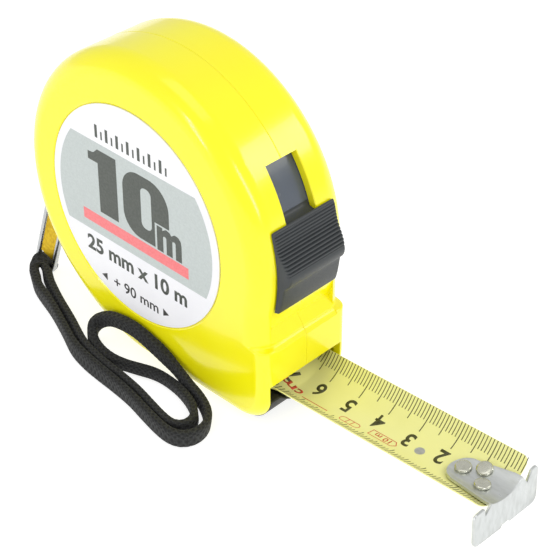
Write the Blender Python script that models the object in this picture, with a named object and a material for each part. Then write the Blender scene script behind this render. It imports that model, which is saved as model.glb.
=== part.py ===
"""Pocket tape measure: two-part case, lock slider, brake, spool, blade, hook, bail and wrist strap.

Millimetres are used for the constants; MM turns them into metres. +X is the way the blade
leaves the case, -Y is the labelled side, +Z is up and z = 0 is the surface it stands on.
"""
import math

import bpy
import bmesh
from mathutils import Matrix, Vector

MM = 0.001
FRAME_X = 27.7            # case centre sits this far behind the frame origin

# case
CASE_R = 45.0             # side profile radius, so the case is 90 mm long
CASE_Z = 45.0             # height of the spool axis
HALF_T = 15.75            # half of the case thickness
WALL = 2.2
EDGE_R = 6.2              # rounding between rim and side faces
FRONT_EDGE_R = 3.5        # tighter rounding on the square front block
BASE_EDGE_R = 4.5
NOSE_R = 9.8              # rounding between front face and base
BLOCK_LOW = 22.0          # the inner face starts to follow the slider's arc here
BLOCK_TOP = 24.4          # the base block stands proud of the front up to this height
FRONT_X = 43.7
PARTING = 0.15            # half of the gap on the parting plane
LABEL_R = 31.7
LABEL_X = -1.5
LABEL_T = 0.4
LABEL_POCKET = 0.5
MOUTH_HALF = 13.1
MOUTH_TOP = 13.3
MOUTH_BACK = 36.7
BOSS_R = 35.4
BOSS_ANGLES = (50.0, 130.0, 225.0, -22.0)

# lock slider
SLOT_HALF = 5.2
SLOT_LOW = -1.0
SLOT_HIGH = 36.6
POCKET_R = 44.8
POCKET_HALF = 11.4
RIBS = 13

# spool
DRUM_IN = 17.2
DRUM_OUT = 18.6
COIL_R = 31.0
SPRING_IN = 6.6
SPRING_OUT = 16.6
SPRING_TURNS = 6
POST_R = 5.6

# blade
BLADE_SLOPE = math.atan(0.0389)
BLADE_ARC_R = 12.8        # radius of the cupped cross-section
BLADE_HALF = 12.5         # half of the flat blade width
BLADE_T = 0.25
ZERO_X = 108.8            # zero mark, the inner face of the hook
ZERO_Z = 8.3
BLADE_END = -0.8
BLADE_CUP_END = -65.0     # behind this the cup opens out towards the coil
BLADE_TAIL = -71.5
TAIL_RISE = 3.6

# hook
HOOK_T = 0.8
HOOK_GAP = 0.3
TONGUE_BACK = -16.6
TONGUE_Y = 0.4
PLATE_HALF = 12.2
RIVETS = ((-13.2, 1.3), (-8.6, 4.1), (-5.9, -0.9))

# brake
LEVER_PIN = (27.0, 18.0)
LEVER_PIN_R = 1.2
PAD_LOW = 9.65            # clears the blade's opened-out tail as it passes

# bail
BAIL_Y = -8.0
BAIL_PIN = (-40.6, 34.1)
BAIL_PIN_R = 1.0
BAIL_WIRE_R = 0.9
BAIL_HALF = 3.4
BAIL_LONG = 31.0
BAIL_SLOT_HALF = 1.7

# wrist strap, a flattened braid standing on its edge
STRAP_THICK = 2.2
STRAP_ROUTE = (     # x, y, height of the middle, width standing up
    (-52.8, -11.2, 2.8, 4.9), (-50.0, -13.4, 2.8, 4.9), (-46.4, -15.7, 2.8, 4.9), (-42.2, -17.9, 2.8, 4.9),
    (-32.5, -21.1, 2.8, 4.9), (-23.2, -24.8, 2.8, 4.9), (-14.8, -28.3, 2.8, 4.9), (-8.1, -29.8, 2.8, 4.9),
    (-1.9, -30.5, 2.8, 4.9), (4.9, -31.1, 2.8, 4.9), (12.3, -32.0, 2.8, 4.9), (19.1, -33.4, 2.8, 4.9),
    (26.0, -34.7, 2.8, 4.9), (30.6, -34.9, 2.8, 4.9), (33.7, -33.6, 2.8, 4.9), (35.3, -30.4, 2.8, 4.9),
    (34.6, -26.4, 2.8, 4.8), (31.6, -22.9, 2.8, 4.7), (26.4, -20.2, 2.9, 4.5), (20.5, -18.7, 3.6, 4.2),
    (14.5, -17.6, 5.4, 3.8), (9.4, -17.2, 7.4, 3.4), (4.3, -17.1, 8.9, 3.2), (-1.0, -17.1, 9.9, 3.1),
    (-6.5, -17.1, 9.6, 3.1), (-11.4, -17.3, 8.5, 3.2), (-14.6, -18.6, 6.6, 3.4), (-15.0, -20.7, 4.8, 3.4),
    (-12.6, -22.9, 3.4, 3.4), (-9.0, -24.2, 2.5, 3.4), (-4.0, -24.7, 2.2, 3.4), (0.4, -23.4, 2.2, 3.4),
    (4.7, -21.9, 2.2, 3.4), (8.4, -20.6, 2.2, 3.4), (12.4, -20.0, 2.1, 3.3), (18.3, -20.5, 2.2, 3.6),
    (24.0, -22.2, 2.5, 4.2), (28.2, -24.4, 2.7, 4.8), (30.9, -27.3, 2.8, 4.9), (31.0, -30.4, 2.8, 4.9),
    (28.8, -32.2, 2.8, 4.9), (25.0, -32.0, 2.8, 4.9), (19.0, -30.8, 2.8, 4.9), (12.3, -29.5, 2.8, 4.9),
    (4.9, -28.6, 2.8, 4.9), (-2.2, -28.0, 2.8, 4.9), (-8.6, -27.1, 2.8, 4.9), (-14.6, -25.6, 2.8, 4.9),
    (-23.0, -22.2, 2.8, 4.9), (-32.2, -18.5, 2.8, 4.9), (-41.0, -14.6, 2.8, 4.9), (-45.6, -12.2, 2.8, 4.9),
    (-48.4, -10.4, 2.8, 4.9),
)


def material(name, rgb, rough, metal=0.0):
    mat = bpy.data.materials.new(name)
    mat.use_nodes = True
    node = mat.node_tree.nodes["Principled BSDF"]
    node.inputs["Base Color"].default_value = (rgb[0], rgb[1], rgb[2], 1.0)
    node.inputs["Roughness"].default_value = rough
    node.inputs["Metallic"].default_value = metal
    return mat


def add_object(name, bm, mat=None, origin=(0.0, 0.0, 0.0), triangulate=False):
    """Makes an object from millimetre geometry, with its origin at the given point."""
    bmesh.ops.remove_doubles(bm, verts=bm.verts, dist=0.0005)
    if triangulate:
        bmesh.ops.triangulate(bm, faces=bm.faces)
    bmesh.ops.recalc_face_normals(bm, faces=bm.faces)
    shift = Vector(origin)
    for vert in bm.verts:
        vert.co = (vert.co - shift) * MM
    mesh = bpy.data.meshes.new(name)
    bm.to_mesh(mesh)
    bm.free()
    obj = bpy.data.objects.new(name, mesh)
    obj.location = (shift + Vector((-FRAME_X, 0.0, 0.0))) * MM
    bpy.context.scene.collection.objects.link(obj)
    if mat is not None:
        mesh.materials.append(mat)
    return obj


def boolean(obj, tool, kind):
    tool.hide_render = True
    tool.display_type = "WIRE"
    mod = obj.modifiers.new(kind.lower() + "_" + tool.name, "BOOLEAN")
    mod.operation = kind
    mod.solver = "EXACT"
    mod.object = tool


def polar(radius, degrees):
    angle = math.radians(degrees)
    return (radius * math.cos(angle), CASE_Z + radius * math.sin(angle))


def arc_points(radius, start, end, count):
    return [polar(radius, start + (end - start) * i / count) for i in range(count + 1)]


def loft(rings, closed=True, cap=True):
    """Joins equal rings of points into a tube, with end caps if asked for."""
    bm = bmesh.new()
    rows = [[bm.verts.new(point) for point in ring] for ring in rings]
    count = len(rows[0])
    last = count if closed else count - 1
    for low, high in zip(rows, rows[1:]):
        for i in range(last):
            j = (i + 1) % count
            bm.faces.new((low[i], low[j], high[j], high[i]))
    if cap:
        bm.faces.new(rows[0])
        bm.faces.new(list(reversed(rows[-1])))
    return bm


def prism(profile, y_low, y_high):
    """Extrudes an XZ outline along Y."""
    low = [(x, y_low, z) for x, z in profile]
    high = [(x, y_high, z) for x, z in profile]
    return loft([low, high])


def cylinder_y(centre, radius, y_low, y_high, sides=32):
    ring = []
    for i in range(sides):
        angle = 2.0 * math.pi * i / sides
        ring.append((centre[0] + radius * math.cos(angle), centre[1] + radius * math.sin(angle)))
    return prism(ring, y_low, y_high)


def lathe_y(profile, centre, sides=54):
    """Turns a closed (radius, y) outline about an axis along Y."""
    rings = []
    for i in range(sides + 1):
        angle = 2.0 * math.pi * i / sides
        ring = []
        for radius, y in profile:
            x = centre[0] + radius * math.cos(angle)
            z = centre[1] + radius * math.sin(angle)
            ring.append((x, y, z))
        rings.append(ring)
    return loft(rings, cap=False)


def sector(r_in, r_out, start, end, count):
    """Outline of a ring sector about the spool axis."""
    outer = arc_points(r_out, start, end, count)
    inner = arc_points(r_in, end, start, count)
    return outer + inner


# ---------------------------------------------------------------- case

def blend(value, low, high):
    return max(0.0, min(1.0, (value - low) / (high - low)))


def case_profile():
    """Outline stations: outer point, inner point and edge rounding."""
    inner_r = CASE_R - WALL
    stations = []
    for i in range(0, 61):
        degrees = 270.0 * i / 60
        edge = EDGE_R + (BASE_EDGE_R - EDGE_R) * blend(degrees, 235.0, 268.0)
        stations.append((polar(CASE_R, degrees), polar(inner_r, degrees), edge))
    for x in (9.0, 18.0, 27.0):
        stations.append(((x, 0.0), (x, WALL), BASE_EDGE_R))
    centre = CASE_R - NOSE_R
    for i in range(0, 10):
        angle = math.radians(270.0 + 90.0 * i / 9)
        c, s = math.cos(angle), math.sin(angle)
        outer = (centre + NOSE_R * c, NOSE_R + NOSE_R * s)
        inner = (centre + (NOSE_R - WALL) * c, NOSE_R + (NOSE_R - WALL) * s)
        edge = BASE_EDGE_R + (FRONT_EDGE_R - BASE_EDGE_R) * i / 9
        stations.append((outer, inner, edge))
    for z in (16.0, 22.0, BLOCK_TOP):
        stations.append(((CASE_R, z), (front_inner(z), z), FRONT_EDGE_R))
    for z in (BLOCK_TOP + 0.8, 27.0, 29.5, 32.0, 34.3, 37.4, 41.2):
        x = FRONT_X if z < 34.4 else math.sqrt(CASE_R ** 2 - (CASE_Z - z) ** 2)
        stations.append(((x, z), (front_inner(z), z), EDGE_R))
    return stations


def front_inner(z):
    """Inner face of the front wall: upright low down, then on the slider's arc."""
    inner_r = CASE_R - WALL
    if z <= BLOCK_LOW:
        return inner_r
    if z < 29.0:
        low = math.sqrt(inner_r ** 2 - (CASE_Z - 29.0) ** 2)
        return inner_r + (low - inner_r) * (z - BLOCK_LOW) / (29.0 - BLOCK_LOW)
    return math.sqrt(inner_r ** 2 - (CASE_Z - z) ** 2)


def normals(points):
    """Inward unit normals of a closed counter-clockwise outline."""
    out = []
    count = len(points)
    for i in range(count):
        before, after = points[i - 1], points[(i + 1) % count]
        tx, tz = after[0] - before[0], after[1] - before[1]
        size = math.hypot(tx, tz)
        out.append((-tz / size, tx / size))
    return out


def skin_rings(points, edges, depth, steps):
    """Rings from the parting plane out to a side face with a rounded edge."""
    inward = normals(points)
    rings = [[(x, PARTING, z) for x, z in points]]
    for step in range(steps + 1):
        angle = 0.5 * math.pi * (steps - step) / steps
        ring = []
        for (x, z), (nx, nz), edge in zip(points, inward, edges):
            inset = edge * (1.0 - math.sin(angle))
            y = depth - edge * (1.0 - math.cos(angle))
            ring.append((x + nx * inset, y, z + nz * inset))
        rings.append(ring)
    return rings


def shell_mesh(side):
    """One half of the case, an open cup with its rim on the parting plane."""
    stations = case_profile()
    outer = [item[0] for item in stations]
    inner = [item[1] for item in stations]
    edges = [item[2] for item in stations]
    thin = [max(0.8, edge - WALL) for edge in edges]
    rings = list(reversed(skin_rings(outer, edges, HALF_T, 6)))
    rings += skin_rings(inner, thin, HALF_T - WALL, 2)
    turned = [[(x, side * y, z) for x, y, z in ring] for ring in rings]
    return loft(turned)


def label_pocket_tool(side):
    low, high = sorted((side * (HALF_T - LABEL_POCKET), side * (HALF_T + 2.0)))
    return cylinder_y((LABEL_X, CASE_Z), LABEL_R + 0.3, low, high, 72)


def mouth_tool():
    low, high = MOUTH_BACK, CASE_R + 3.0
    box = [(low, -3.0), (high, -3.0), (high, MOUTH_TOP), (low, MOUTH_TOP)]
    return prism(box, -MOUTH_HALF, MOUTH_HALF)


def pocket_tool():
    """Room for the button: an arc floor that runs out on a ledge of the front block."""
    profile = arc_points(POCKET_R, 0.8, -21.5, 10)
    profile += [(CASE_R + 0.05, 23.4), (CASE_R + 6.0, 23.4), (CASE_R + 6.0, polar(POCKET_R, 0.8)[1])]
    return prism(profile, -POCKET_HALF, POCKET_HALF)


def cut_case(half, side, parts):
    for name, bm in parts:
        boolean(half, add_object(name, bm), "DIFFERENCE")


def make_case(mat, side, name):
    half = add_object(name, shell_mesh(side), mat)
    near = side < 0
    for index, degrees in enumerate(BOSS_ANGLES):
        centre = polar(BOSS_R, degrees)
        inside = side * (HALF_T - WALL * 0.5)
        low, high = sorted((inside, side * 0.4))
        boss = add_object("boss_%s_%d" % (name, index), cylinder_y(centre, 2.6, low, high, 20))
        boolean(half, boss, "UNION")
    if near:
        lug = cylinder_y(BAIL_PIN, 2.6, -11.4, -3.4, 24)
        boolean(half, add_object("bail_lug", lug), "UNION")
    cuts = [("label_cut_" + name, label_pocket_tool(side)), ("mouth_cut_" + name, mouth_tool())]
    slot = prism(sector(39.0, 48.0, SLOT_LOW, SLOT_HIGH, 10), -SLOT_HALF, SLOT_HALF)
    cuts += [("slot_cut_" + name, slot), ("pocket_cut_" + name, pocket_tool())]
    for index, degrees in enumerate(BOSS_ANGLES):
        centre = polar(BOSS_R, degrees)
        if near:
            cuts.append(("hole_%d_%s" % (index, name), cylinder_y(centre, 1.25, -12.4, 1.0, 16)))
        else:
            cuts.append(("hole_%d_%s" % (index, name), cylinder_y(centre, 1.45, -1.0, 18.0, 16)))
            cuts.append(("sink_%d_%s" % (index, name), cylinder_y(centre, 2.75, 14.3, 18.0, 20)))
    if near:
        low, high = BAIL_Y - BAIL_SLOT_HALF, BAIL_Y + BAIL_SLOT_HALF
        gap = prism(sector(36.0, 48.0, 186.5, 210.5, 8), low, high)
        cuts.append(("bail_slot", gap))
        bore = cylinder_y(BAIL_PIN, BAIL_PIN_R + 0.05, -11.0, -3.8, 24)
        cuts.append(("bail_bore", bore))
    cut_case(half, side, cuts)
    return half


def make_label(mat, side, name):
    inner = side * (HALF_T - LABEL_POCKET + 0.08)
    low, high = sorted((inner, inner + side * LABEL_T))
    add_object(name, cylinder_y((LABEL_X, CASE_Z), LABEL_R, low, high, 72), mat)


def make_screw(mat, index, degrees):
    centre = polar(BOSS_R, degrees)
    profile = [(0.0, -10.5), (1.15, -10.0), (1.15, 14.35), (2.4, 14.35), (2.4, 15.1), (2.0, 15.45), (0.0, 15.45)]
    rings = []
    for i in range(18):
        angle = 2.0 * math.pi * i / 18
        rings.append([(centre[0] + r * math.cos(angle), y, centre[1] + r * math.sin(angle)) for r, y in profile])
    rings.append(rings[0])
    screw = add_object("case_screw_%d" % (index + 1), loft(rings, cap=False), mat)
    for turn in (0.0, 90.0):
        bm = bmesh.new()
        bmesh.ops.create_cube(bm, size=1.0)
        bmesh.ops.scale(bm, vec=(2.8, 1.6, 0.6), verts=bm.verts)
        bmesh.ops.rotate(bm, cent=(0, 0, 0), matrix=Matrix.Rotation(math.radians(turn), 3, "Y"), verts=bm.verts)
        bmesh.ops.translate(bm, vec=(centre[0], 15.6, centre[1]), verts=bm.verts)
        boolean(screw, add_object("drive_%d_%d" % (index, int(turn)), bm), "DIFFERENCE")


def make_bumper(mat):
    """Black insert under the blade, filling the mouth up to the cupped underside."""
    centre = CASE_R - NOSE_R
    outline = [(MOUTH_BACK + 0.3, 0.1)]
    for i in range(0, 8):
        start = math.degrees(math.acos((MOUTH_BACK + 1.5 - centre) / NOSE_R))
        angle = math.radians(-start * (1.0 - i / 7.0))
        outline.append((centre + (NOSE_R - 0.1) * math.cos(angle), NOSE_R + (NOSE_R - 0.1) * math.sin(angle)))
    rings = []
    half = MOUTH_HALF - 0.3
    for i in range(25):
        y = -half + 2.0 * half * i / 24
        rings.append([(x, y, z) for x, z in bumper_section(outline, y)])
    add_object("mouth_bumper", loft(rings), mat, triangulate=True)


def bumper_section(outline, y):
    top = bumper_top(y)
    section = [(outline[0][0], outline[0][1])]
    for x, z in outline[1:]:
        section.append((x, min(z, top - 0.3)))
    section.append((CASE_R - 0.1, top))
    section.append((outline[0][0], top))
    return section


def bumper_top(y):
    """Height just under the cupped blade, kept below its opened-out tail near the edges."""
    low = ZERO_Z - (ZERO_X - 40.0) * math.tan(BLADE_SLOPE)
    radius = BLADE_ARC_R + 0.9
    reach = min(abs(y), 11.2)
    return min(8.5, low - 0.9 + radius - math.sqrt(radius ** 2 - reach ** 2))


# ---------------------------------------------------------------- lock and brake

def button_outline():
    """Underside arc, then the outer face: foot, overhanging nose and ribbed top."""
    under = [(45.3, -12.0 + 29.3 * i / 10) for i in range(11)]
    top = [(46.5, 17.3)]
    for i in range(RIBS):
        start = 16.6 - 13.7 * i / RIBS
        end = 16.6 - 13.7 * (i + 1) / RIBS
        ridge = 46.9 + 1.6 * i / RIBS
        top.append((ridge, start))
        top.append((ridge + 0.05, start + (end - start) * 0.5))
        top.append((ridge - 0.32, start + (end - start) * 0.6))
        top.append((ridge - 0.30, start + (end - start) * 0.92))
    nose = [(48.6, 2.7), (48.75, 1.9), (48.6, 0.5), (48.1, -0.6), (47.0, -2.2), (46.7, -3.6), (46.2, -12.2)]
    return under, top + nose


def make_button(mat):
    under, outer = button_outline()
    outline = under + outer
    rings = []
    for side in (-1.0, 1.0):
        ring = []
        for radius, degrees in outline:
            x, z = polar(radius, degrees)
            half = 10.95 - 0.2 * (radius - 45.3)
            ring.append((x, side * half, z))
        rings.append(ring)
    button = add_object("thumb_button", loft(rings), mat, (0.0, 0.0, CASE_Z), triangulate=True)
    stem = prism(sector(42.8, 45.9, 0.4, 11.5, 4), -4.9, 4.9)
    boolean(button, add_object("button_stem", stem), "UNION")


def make_strip(mat):
    """Slot cover that rides under the rim, with a narrow tail that works the brake."""
    strip = prism(sector(41.7, 42.5, -8.0, 41.0, 16), -6.6, 6.6)
    cover = add_object("lock_strip", strip, mat, (0.0, 0.0, CASE_Z))
    tail = prism(sector(41.72, 42.48, -23.0, -6.0, 6), -3.6, 3.6)
    boolean(cover, add_object("strip_tail", tail), "UNION")


def make_brake(lever_mat, pad_mat, pin_mat):
    px, pz = LEVER_PIN
    profile = [(24.6, 16.0), (29.0, 15.6), (35.6, 14.6), (41.6, 14.6), (41.4, 18.0), (39.7, 25.0),
               (39.4, 27.9), (37.6, 27.9), (36.8, 22.0), (31.0, 20.6), (27.4, 21.0), (24.6, 19.8)]
    lever = add_object("brake_lever", prism(profile, -4.0, 4.0), lever_mat, (px, 0.0, pz))
    boolean(lever, add_object("lever_bore", cylinder_y(LEVER_PIN, LEVER_PIN_R + 0.06, -6.0, 6.0, 32)), "DIFFERENCE")
    pad = [(36.0, PAD_LOW + 0.6), (36.6, PAD_LOW), (40.8, PAD_LOW), (41.4, PAD_LOW + 0.6), (41.4, 14.3), (36.0, 14.3)]
    add_object("brake_pad", prism(pad, -7.6, 7.6), pad_mat, (px, 0.0, pz))
    add_object("lever_pin", cylinder_y(LEVER_PIN, LEVER_PIN_R, -13.2, 13.2, 32), pin_mat)


# ---------------------------------------------------------------- spool

def make_spool(drum_mat, coil_mat, spring_mat, post_mat):
    centre = (0.0, CASE_Z)
    origin = (0.0, 0.0, CASE_Z)
    drum = [(DRUM_IN, -12.4), (DRUM_OUT, -12.4), (DRUM_OUT, 12.55), (31.8, 12.55), (31.8, 13.2), (DRUM_IN, 13.2)]
    add_object("spool_drum", lathe_y(drum, centre), drum_mat, origin)
    coil = [(DRUM_OUT + 0.3, -12.4), (COIL_R, -12.4), (COIL_R, 12.25), (DRUM_OUT + 0.3, 12.25)]
    add_object("blade_coil", lathe_y(coil, centre, 60), coil_mat, origin)
    add_object("return_spring", spiral_band(), spring_mat, origin)
    add_object("axle_post", cylinder_y(centre, POST_R, -13.2, 13.2, 32), post_mat)


def spiral_band():
    rings = []
    steps = SPRING_TURNS * 16
    for i in range(steps + 1):
        angle = 2.0 * math.pi * i / 16
        radius = SPRING_IN + (SPRING_OUT - SPRING_IN) * i / steps
        ring = []
        for dr, y in ((0.0, -10.0), (0.35, -10.0), (0.35, 10.0), (0.0, 10.0)):
            x = (radius + dr) * math.cos(angle)
            z = CASE_Z + (radius + dr) * math.sin(angle)
            ring.append((x, y, z))
        rings.append(ring)
    return loft(rings)


# ---------------------------------------------------------------- blade and hook

def blade_point(along, across, lift):
    """Point on the blade: distance from zero, flat distance from the centre line, height."""
    opening = blend(-along, -BLADE_CUP_END, -BLADE_TAIL)
    curve = max(1e-4, (1.0 - 0.97 * opening) / BLADE_ARC_R)
    angle = across * curve
    y = math.sin(angle) * (1.0 / curve - lift)
    up = 1.0 / curve - math.cos(angle) * (1.0 / curve - lift) + TAIL_RISE * opening
    c, s = math.cos(BLADE_SLOPE), math.sin(BLADE_SLOPE)
    return (ZERO_X + along * c - up * s, y, ZERO_Z + along * s + up * c)


def make_blade(mat):
    stations = [BLADE_END, BLADE_END - 1.6, -8.0, -16.0, -24.0, -32.0, -40.0, -48.0, -56.0, BLADE_CUP_END]
    stations += [BLADE_CUP_END + (BLADE_TAIL - BLADE_CUP_END) * i / 5 for i in range(1, 6)]
    rings = []
    for along in stations:
        half = BLADE_HALF - (1.6 if along == BLADE_END else 0.0)
        cut = [half * (2.0 * i / 20 - 1.0) for i in range(21)]
        top = [blade_point(along, across, 0.5 * BLADE_T) for across in cut]
        low = [blade_point(along, across, -0.5 * BLADE_T) for across in reversed(cut)]
        rings.append(top + low)
    add_object("blade", loft(rings), mat, triangulate=True)


def tongue_half(along):
    """Half width of the tongue: a rounded tip that flares towards the hook."""
    reach = along - TONGUE_BACK
    if reach < 5.2:
        return math.sqrt(max(0.05, 5.2 ** 2 - (5.2 - reach) ** 2))
    return 5.2 + 1.9 * blend(reach, 5.2, 15.0)


def tongue_mesh():
    base = BLADE_T * 0.5 + HOOK_GAP
    stations = [TONGUE_BACK + offset for offset in (0.0, 0.3, 0.9, 1.8, 3.0, 4.2, 5.2, 8.0, 11.0, 14.0, 15.6)]
    stations += [0.0, 0.5 * HOOK_T]
    rings = []
    for along in stations:
        half = tongue_half(along)
        cut = [TONGUE_Y + half * (2.0 * i / 8 - 1.0) for i in range(9)]
        top = [blade_point(along, across, base + HOOK_T) for across in cut]
        low = [blade_point(along, across, base) for across in reversed(cut)]
        rings.append(top + low)
    return loft(rings)


def plate_point(along, y, height):
    """Point on the hook plate: height is above the surface stood on, at the plate's inner face."""
    c, s = math.cos(BLADE_SLOPE), math.sin(BLADE_SLOPE)
    up = height - ZERO_Z
    return (ZERO_X + along * c - up * s, y, ZERO_Z + along * s + up * c)


def plate_mesh():
    """Front plate: two wings, an arched neck under the tongue and a stepped lower edge."""
    outline = [(-PLATE_HALF + 1.2, 1.5), (-1.6, 0.75), (-1.3, 1.45), (1.3, 1.45), (1.6, 0.75),
               (PLATE_HALF - 1.2, 1.5), (PLATE_HALF, 2.7), (PLATE_HALF, 10.2), (PLATE_HALF - 0.9, 11.1),
               (8.3, 11.1), (8.1, 8.8)]
    base = BLADE_T * 0.5 + HOOK_GAP + HOOK_T
    neck = []
    for i in range(11):
        across = 7.0 - 14.0 * i / 10 + TONGUE_Y
        angle = across / BLADE_ARC_R
        y = math.sin(angle) * (BLADE_ARC_R - base)
        neck.append((y, ZERO_Z + BLADE_ARC_R - math.cos(angle) * (BLADE_ARC_R - base)))
    outline += neck
    outline += [(-8.1, 8.8), (-8.3, 11.1), (-PLATE_HALF + 0.9, 11.1), (-PLATE_HALF, 10.2), (-PLATE_HALF, 2.7)]
    front = [plate_point(HOOK_T, y, z) for y, z in outline]
    back = [plate_point(0.0, y, z) for y, z in outline]
    return loft([back, front])


def slot_mesh(along, y):
    """Elongated rivet slot through the tongue."""
    ring = []
    for i in range(12):
        angle = 2.0 * math.pi * (i + 0.5) / 12
        reach = 0.5 if math.cos(angle) >= 0.0 else -0.5
        ring.append((along + reach + 1.3 * math.cos(angle), y + 1.3 * math.sin(angle)))
    low = [blade_point(a, across, -0.0) for a, across in ring]
    high = [blade_point(a, across, 3.0) for a, across in ring]
    return loft([low, high])


def make_hook(mat):
    hook = add_object("end_hook", tongue_mesh(), mat, triangulate=True)
    boolean(hook, add_object("hook_plate", plate_mesh(), triangulate=True), "UNION")
    for index, (along, across) in enumerate(RIVETS):
        cutter = add_object("rivet_slot_%d" % index, slot_mesh(along, across), triangulate=True)
        boolean(hook, cutter, "DIFFERENCE")


def make_rivet(mat, index, along, across):
    """Domed rivet standing square to the cupped blade."""
    base = 0.5 * BLADE_T + HOOK_GAP + HOOK_T
    profile = [(0.0, 0.5 * BLADE_T + 0.06), (1.0, 0.5 * BLADE_T + 0.06), (1.0, base + 0.5), (2.2, base + 0.5),
               (2.2, base + 0.75), (1.9, base + 1.0), (1.2, base + 1.15), (0.0, base + 1.2)]
    foot = Vector(blade_point(along, across, 0.0))
    up = (Vector(blade_point(along, across, 2.0)) - foot).normalized()
    side = up.cross(Vector((0.0, 1.0, 0.0))).normalized()
    front = side.cross(up)
    rings = []
    for i in range(21):
        angle = 2.0 * math.pi * (i % 20) / 20
        spoke = side * math.cos(angle) + front * math.sin(angle)
        rings.append([tuple(foot + spoke * r + up * h) for r, h in profile])
    add_object("hook_rivet_%d" % (index + 1), loft(rings, cap=False), mat)


# ---------------------------------------------------------------- bail and strap

def bail_direction():
    return Vector((0.33, 0.0, 0.944)).normalized()


def make_bail(wire_mat, pin_mat):
    """Closed wire loop hanging on a pin in the rear of the rim."""
    up = bail_direction()
    out = Vector((up.z, 0.0, -up.x))
    pin = Vector((BAIL_PIN[0], BAIL_Y, BAIL_PIN[1]))
    high = BAIL_PIN_R + BAIL_WIRE_R + 0.08
    corner = 1.6
    path = []
    for sx, sz, start in ((1, 1, 0), (-1, 1, 90), (-1, -1, 180), (1, -1, 270)):
        level = high - corner if sz > 0 else -BAIL_LONG + corner
        for i in range(4):
            angle = math.radians(start + 90.0 * i / 3)
            a = sx * (BAIL_HALF - corner) + corner * math.cos(angle)
            b = level + corner * math.sin(angle)
            path.append(pin + out * a + up * b)
    rings = []
    count = len(path)
    for i in range(count + 1):
        point = path[i % count]
        tangent = (path[(i + 1) % count] - path[(i - 1) % count]).normalized()
        side = tangent.cross(Vector((0.0, 1.0, 0.0))).normalized()
        ring = []
        for j in range(10):
            angle = 2.0 * math.pi * j / 10
            ring.append(tuple(point + (side * math.cos(angle) + Vector((0, 1, 0)) * math.sin(angle)) * BAIL_WIRE_R))
        rings.append(ring)
    add_object("bail_loop", loft(rings, cap=False), wire_mat, tuple(pin))
    add_object("bail_pin", cylinder_y(BAIL_PIN, BAIL_PIN_R, -10.9, -3.9, 24), pin_mat)


def smooth_route(points, steps):
    """Catmull-Rom curve through the route points."""
    out = []
    count = len(points)
    for i in range(count - 1):
        p0, p1 = points[max(i - 1, 0)], points[i]
        p2, p3 = points[i + 1], points[min(i + 2, count - 1)]
        for k in range(steps):
            t = k / steps
            pair = []
            for a, b, c, d in zip(p0, p1, p2, p3):
                pair.append(0.5 * (2 * b + (c - a) * t + (2 * a - 5 * b + 4 * c - d) * t ** 2
                                   + (3 * b - a - 3 * c + d) * t ** 3))
            out.append(tuple(pair))
    out.append(points[-1])
    return out


def make_strap(mat):
    path = smooth_route(STRAP_ROUTE, 2)
    count = len(path)
    rings = []
    thick, soft = 0.5 * STRAP_THICK, 0.6
    for i in range(count):
        ax, ay = path[max(i - 1, 0)][:2]
        bx, by = path[min(i + 1, count - 1)][:2]
        size = math.hypot(bx - ax, by - ay)
        nx, ny = -(by - ay) / size, (bx - ax) / size
        x, y, z, high = path[i]
        wide = 0.5 * high
        section = [(thick, -wide + soft), (thick, wide - soft), (thick - soft, wide), (soft - thick, wide),
                   (-thick, wide - soft), (-thick, soft - wide), (soft - thick, -wide), (thick - soft, -wide)]
        rings.append([(x + nx * a, y + ny * a, z + b) for a, b in section])
    add_object("wrist_strap", loft(rings), mat)


def main():
    for obj in list(bpy.data.objects):
        bpy.data.objects.remove(obj, do_unlink=True)
    yellow = material("case_yellow", (0.90, 0.80, 0.005), 0.25)
    yellow_far = material("case_yellow_far", (0.90, 0.80, 0.005), 0.25)
    black = material("black_plastic", (0.03, 0.033, 0.036), 0.45)
    make_case(yellow, -1.0, "case_near")
    make_case(yellow_far, 1.0, "case_far")
    make_label(material("label_near", (0.86, 0.86, 0.87), 0.35), -1.0, "label_near")
    make_label(material("label_far", (0.86, 0.86, 0.87), 0.35), 1.0, "label_far")
    for index, degrees in enumerate(BOSS_ANGLES):
        make_screw(material("screw_%d" % (index + 1), (0.5, 0.5, 0.52), 0.3, 1.0), index, degrees)
    make_bumper(material("bumper", (0.02, 0.02, 0.02), 0.6))
    make_button(black)
    make_strip(material("lock_strip", (0.05, 0.053, 0.06), 0.35))
    make_brake(material("brake_lever", (0.12, 0.12, 0.13), 0.5), material("brake_pad", (0.03, 0.03, 0.03), 0.8),
               material("lever_pin", (0.6, 0.6, 0.62), 0.25, 1.0))
    make_spool(material("spool_drum", (0.7, 0.7, 0.68), 0.5), material("blade_coil", (0.85, 0.85, 0.3), 0.4),
               material("return_spring", (0.45, 0.45, 0.5), 0.3, 1.0), material("axle_post", (0.8, 0.7, 0.02), 0.4))
    make_blade(material("blade_enamel", (0.88, 0.87, 0.33), 0.35))
    make_hook(material("hook_steel", (0.7, 0.71, 0.72), 0.25, 1.0))
    for index, (along, across) in enumerate(RIVETS):
        make_rivet(material("rivet_%d" % (index + 1), (0.72, 0.72, 0.72), 0.22, 1.0), index, along, across)
    make_bail(material("bail_wire", (0.7, 0.7, 0.72), 0.15, 1.0), material("bail_pin", (0.6, 0.6, 0.62), 0.25, 1.0))
    make_strap(material("strap", (0.012, 0.012, 0.013), 0.9))


main()
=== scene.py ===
"""Pocket tape measure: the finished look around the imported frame.

Millimetres are used for every size here. The case centre is the middle of all positions, as on a
workshop drawing: +X is the way the blade leaves, -Y the labelled side, +Z up.
"""
import math

import bmesh
import bpy
import numpy as np
from mathutils import Matrix, Quaternion, Vector


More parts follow.
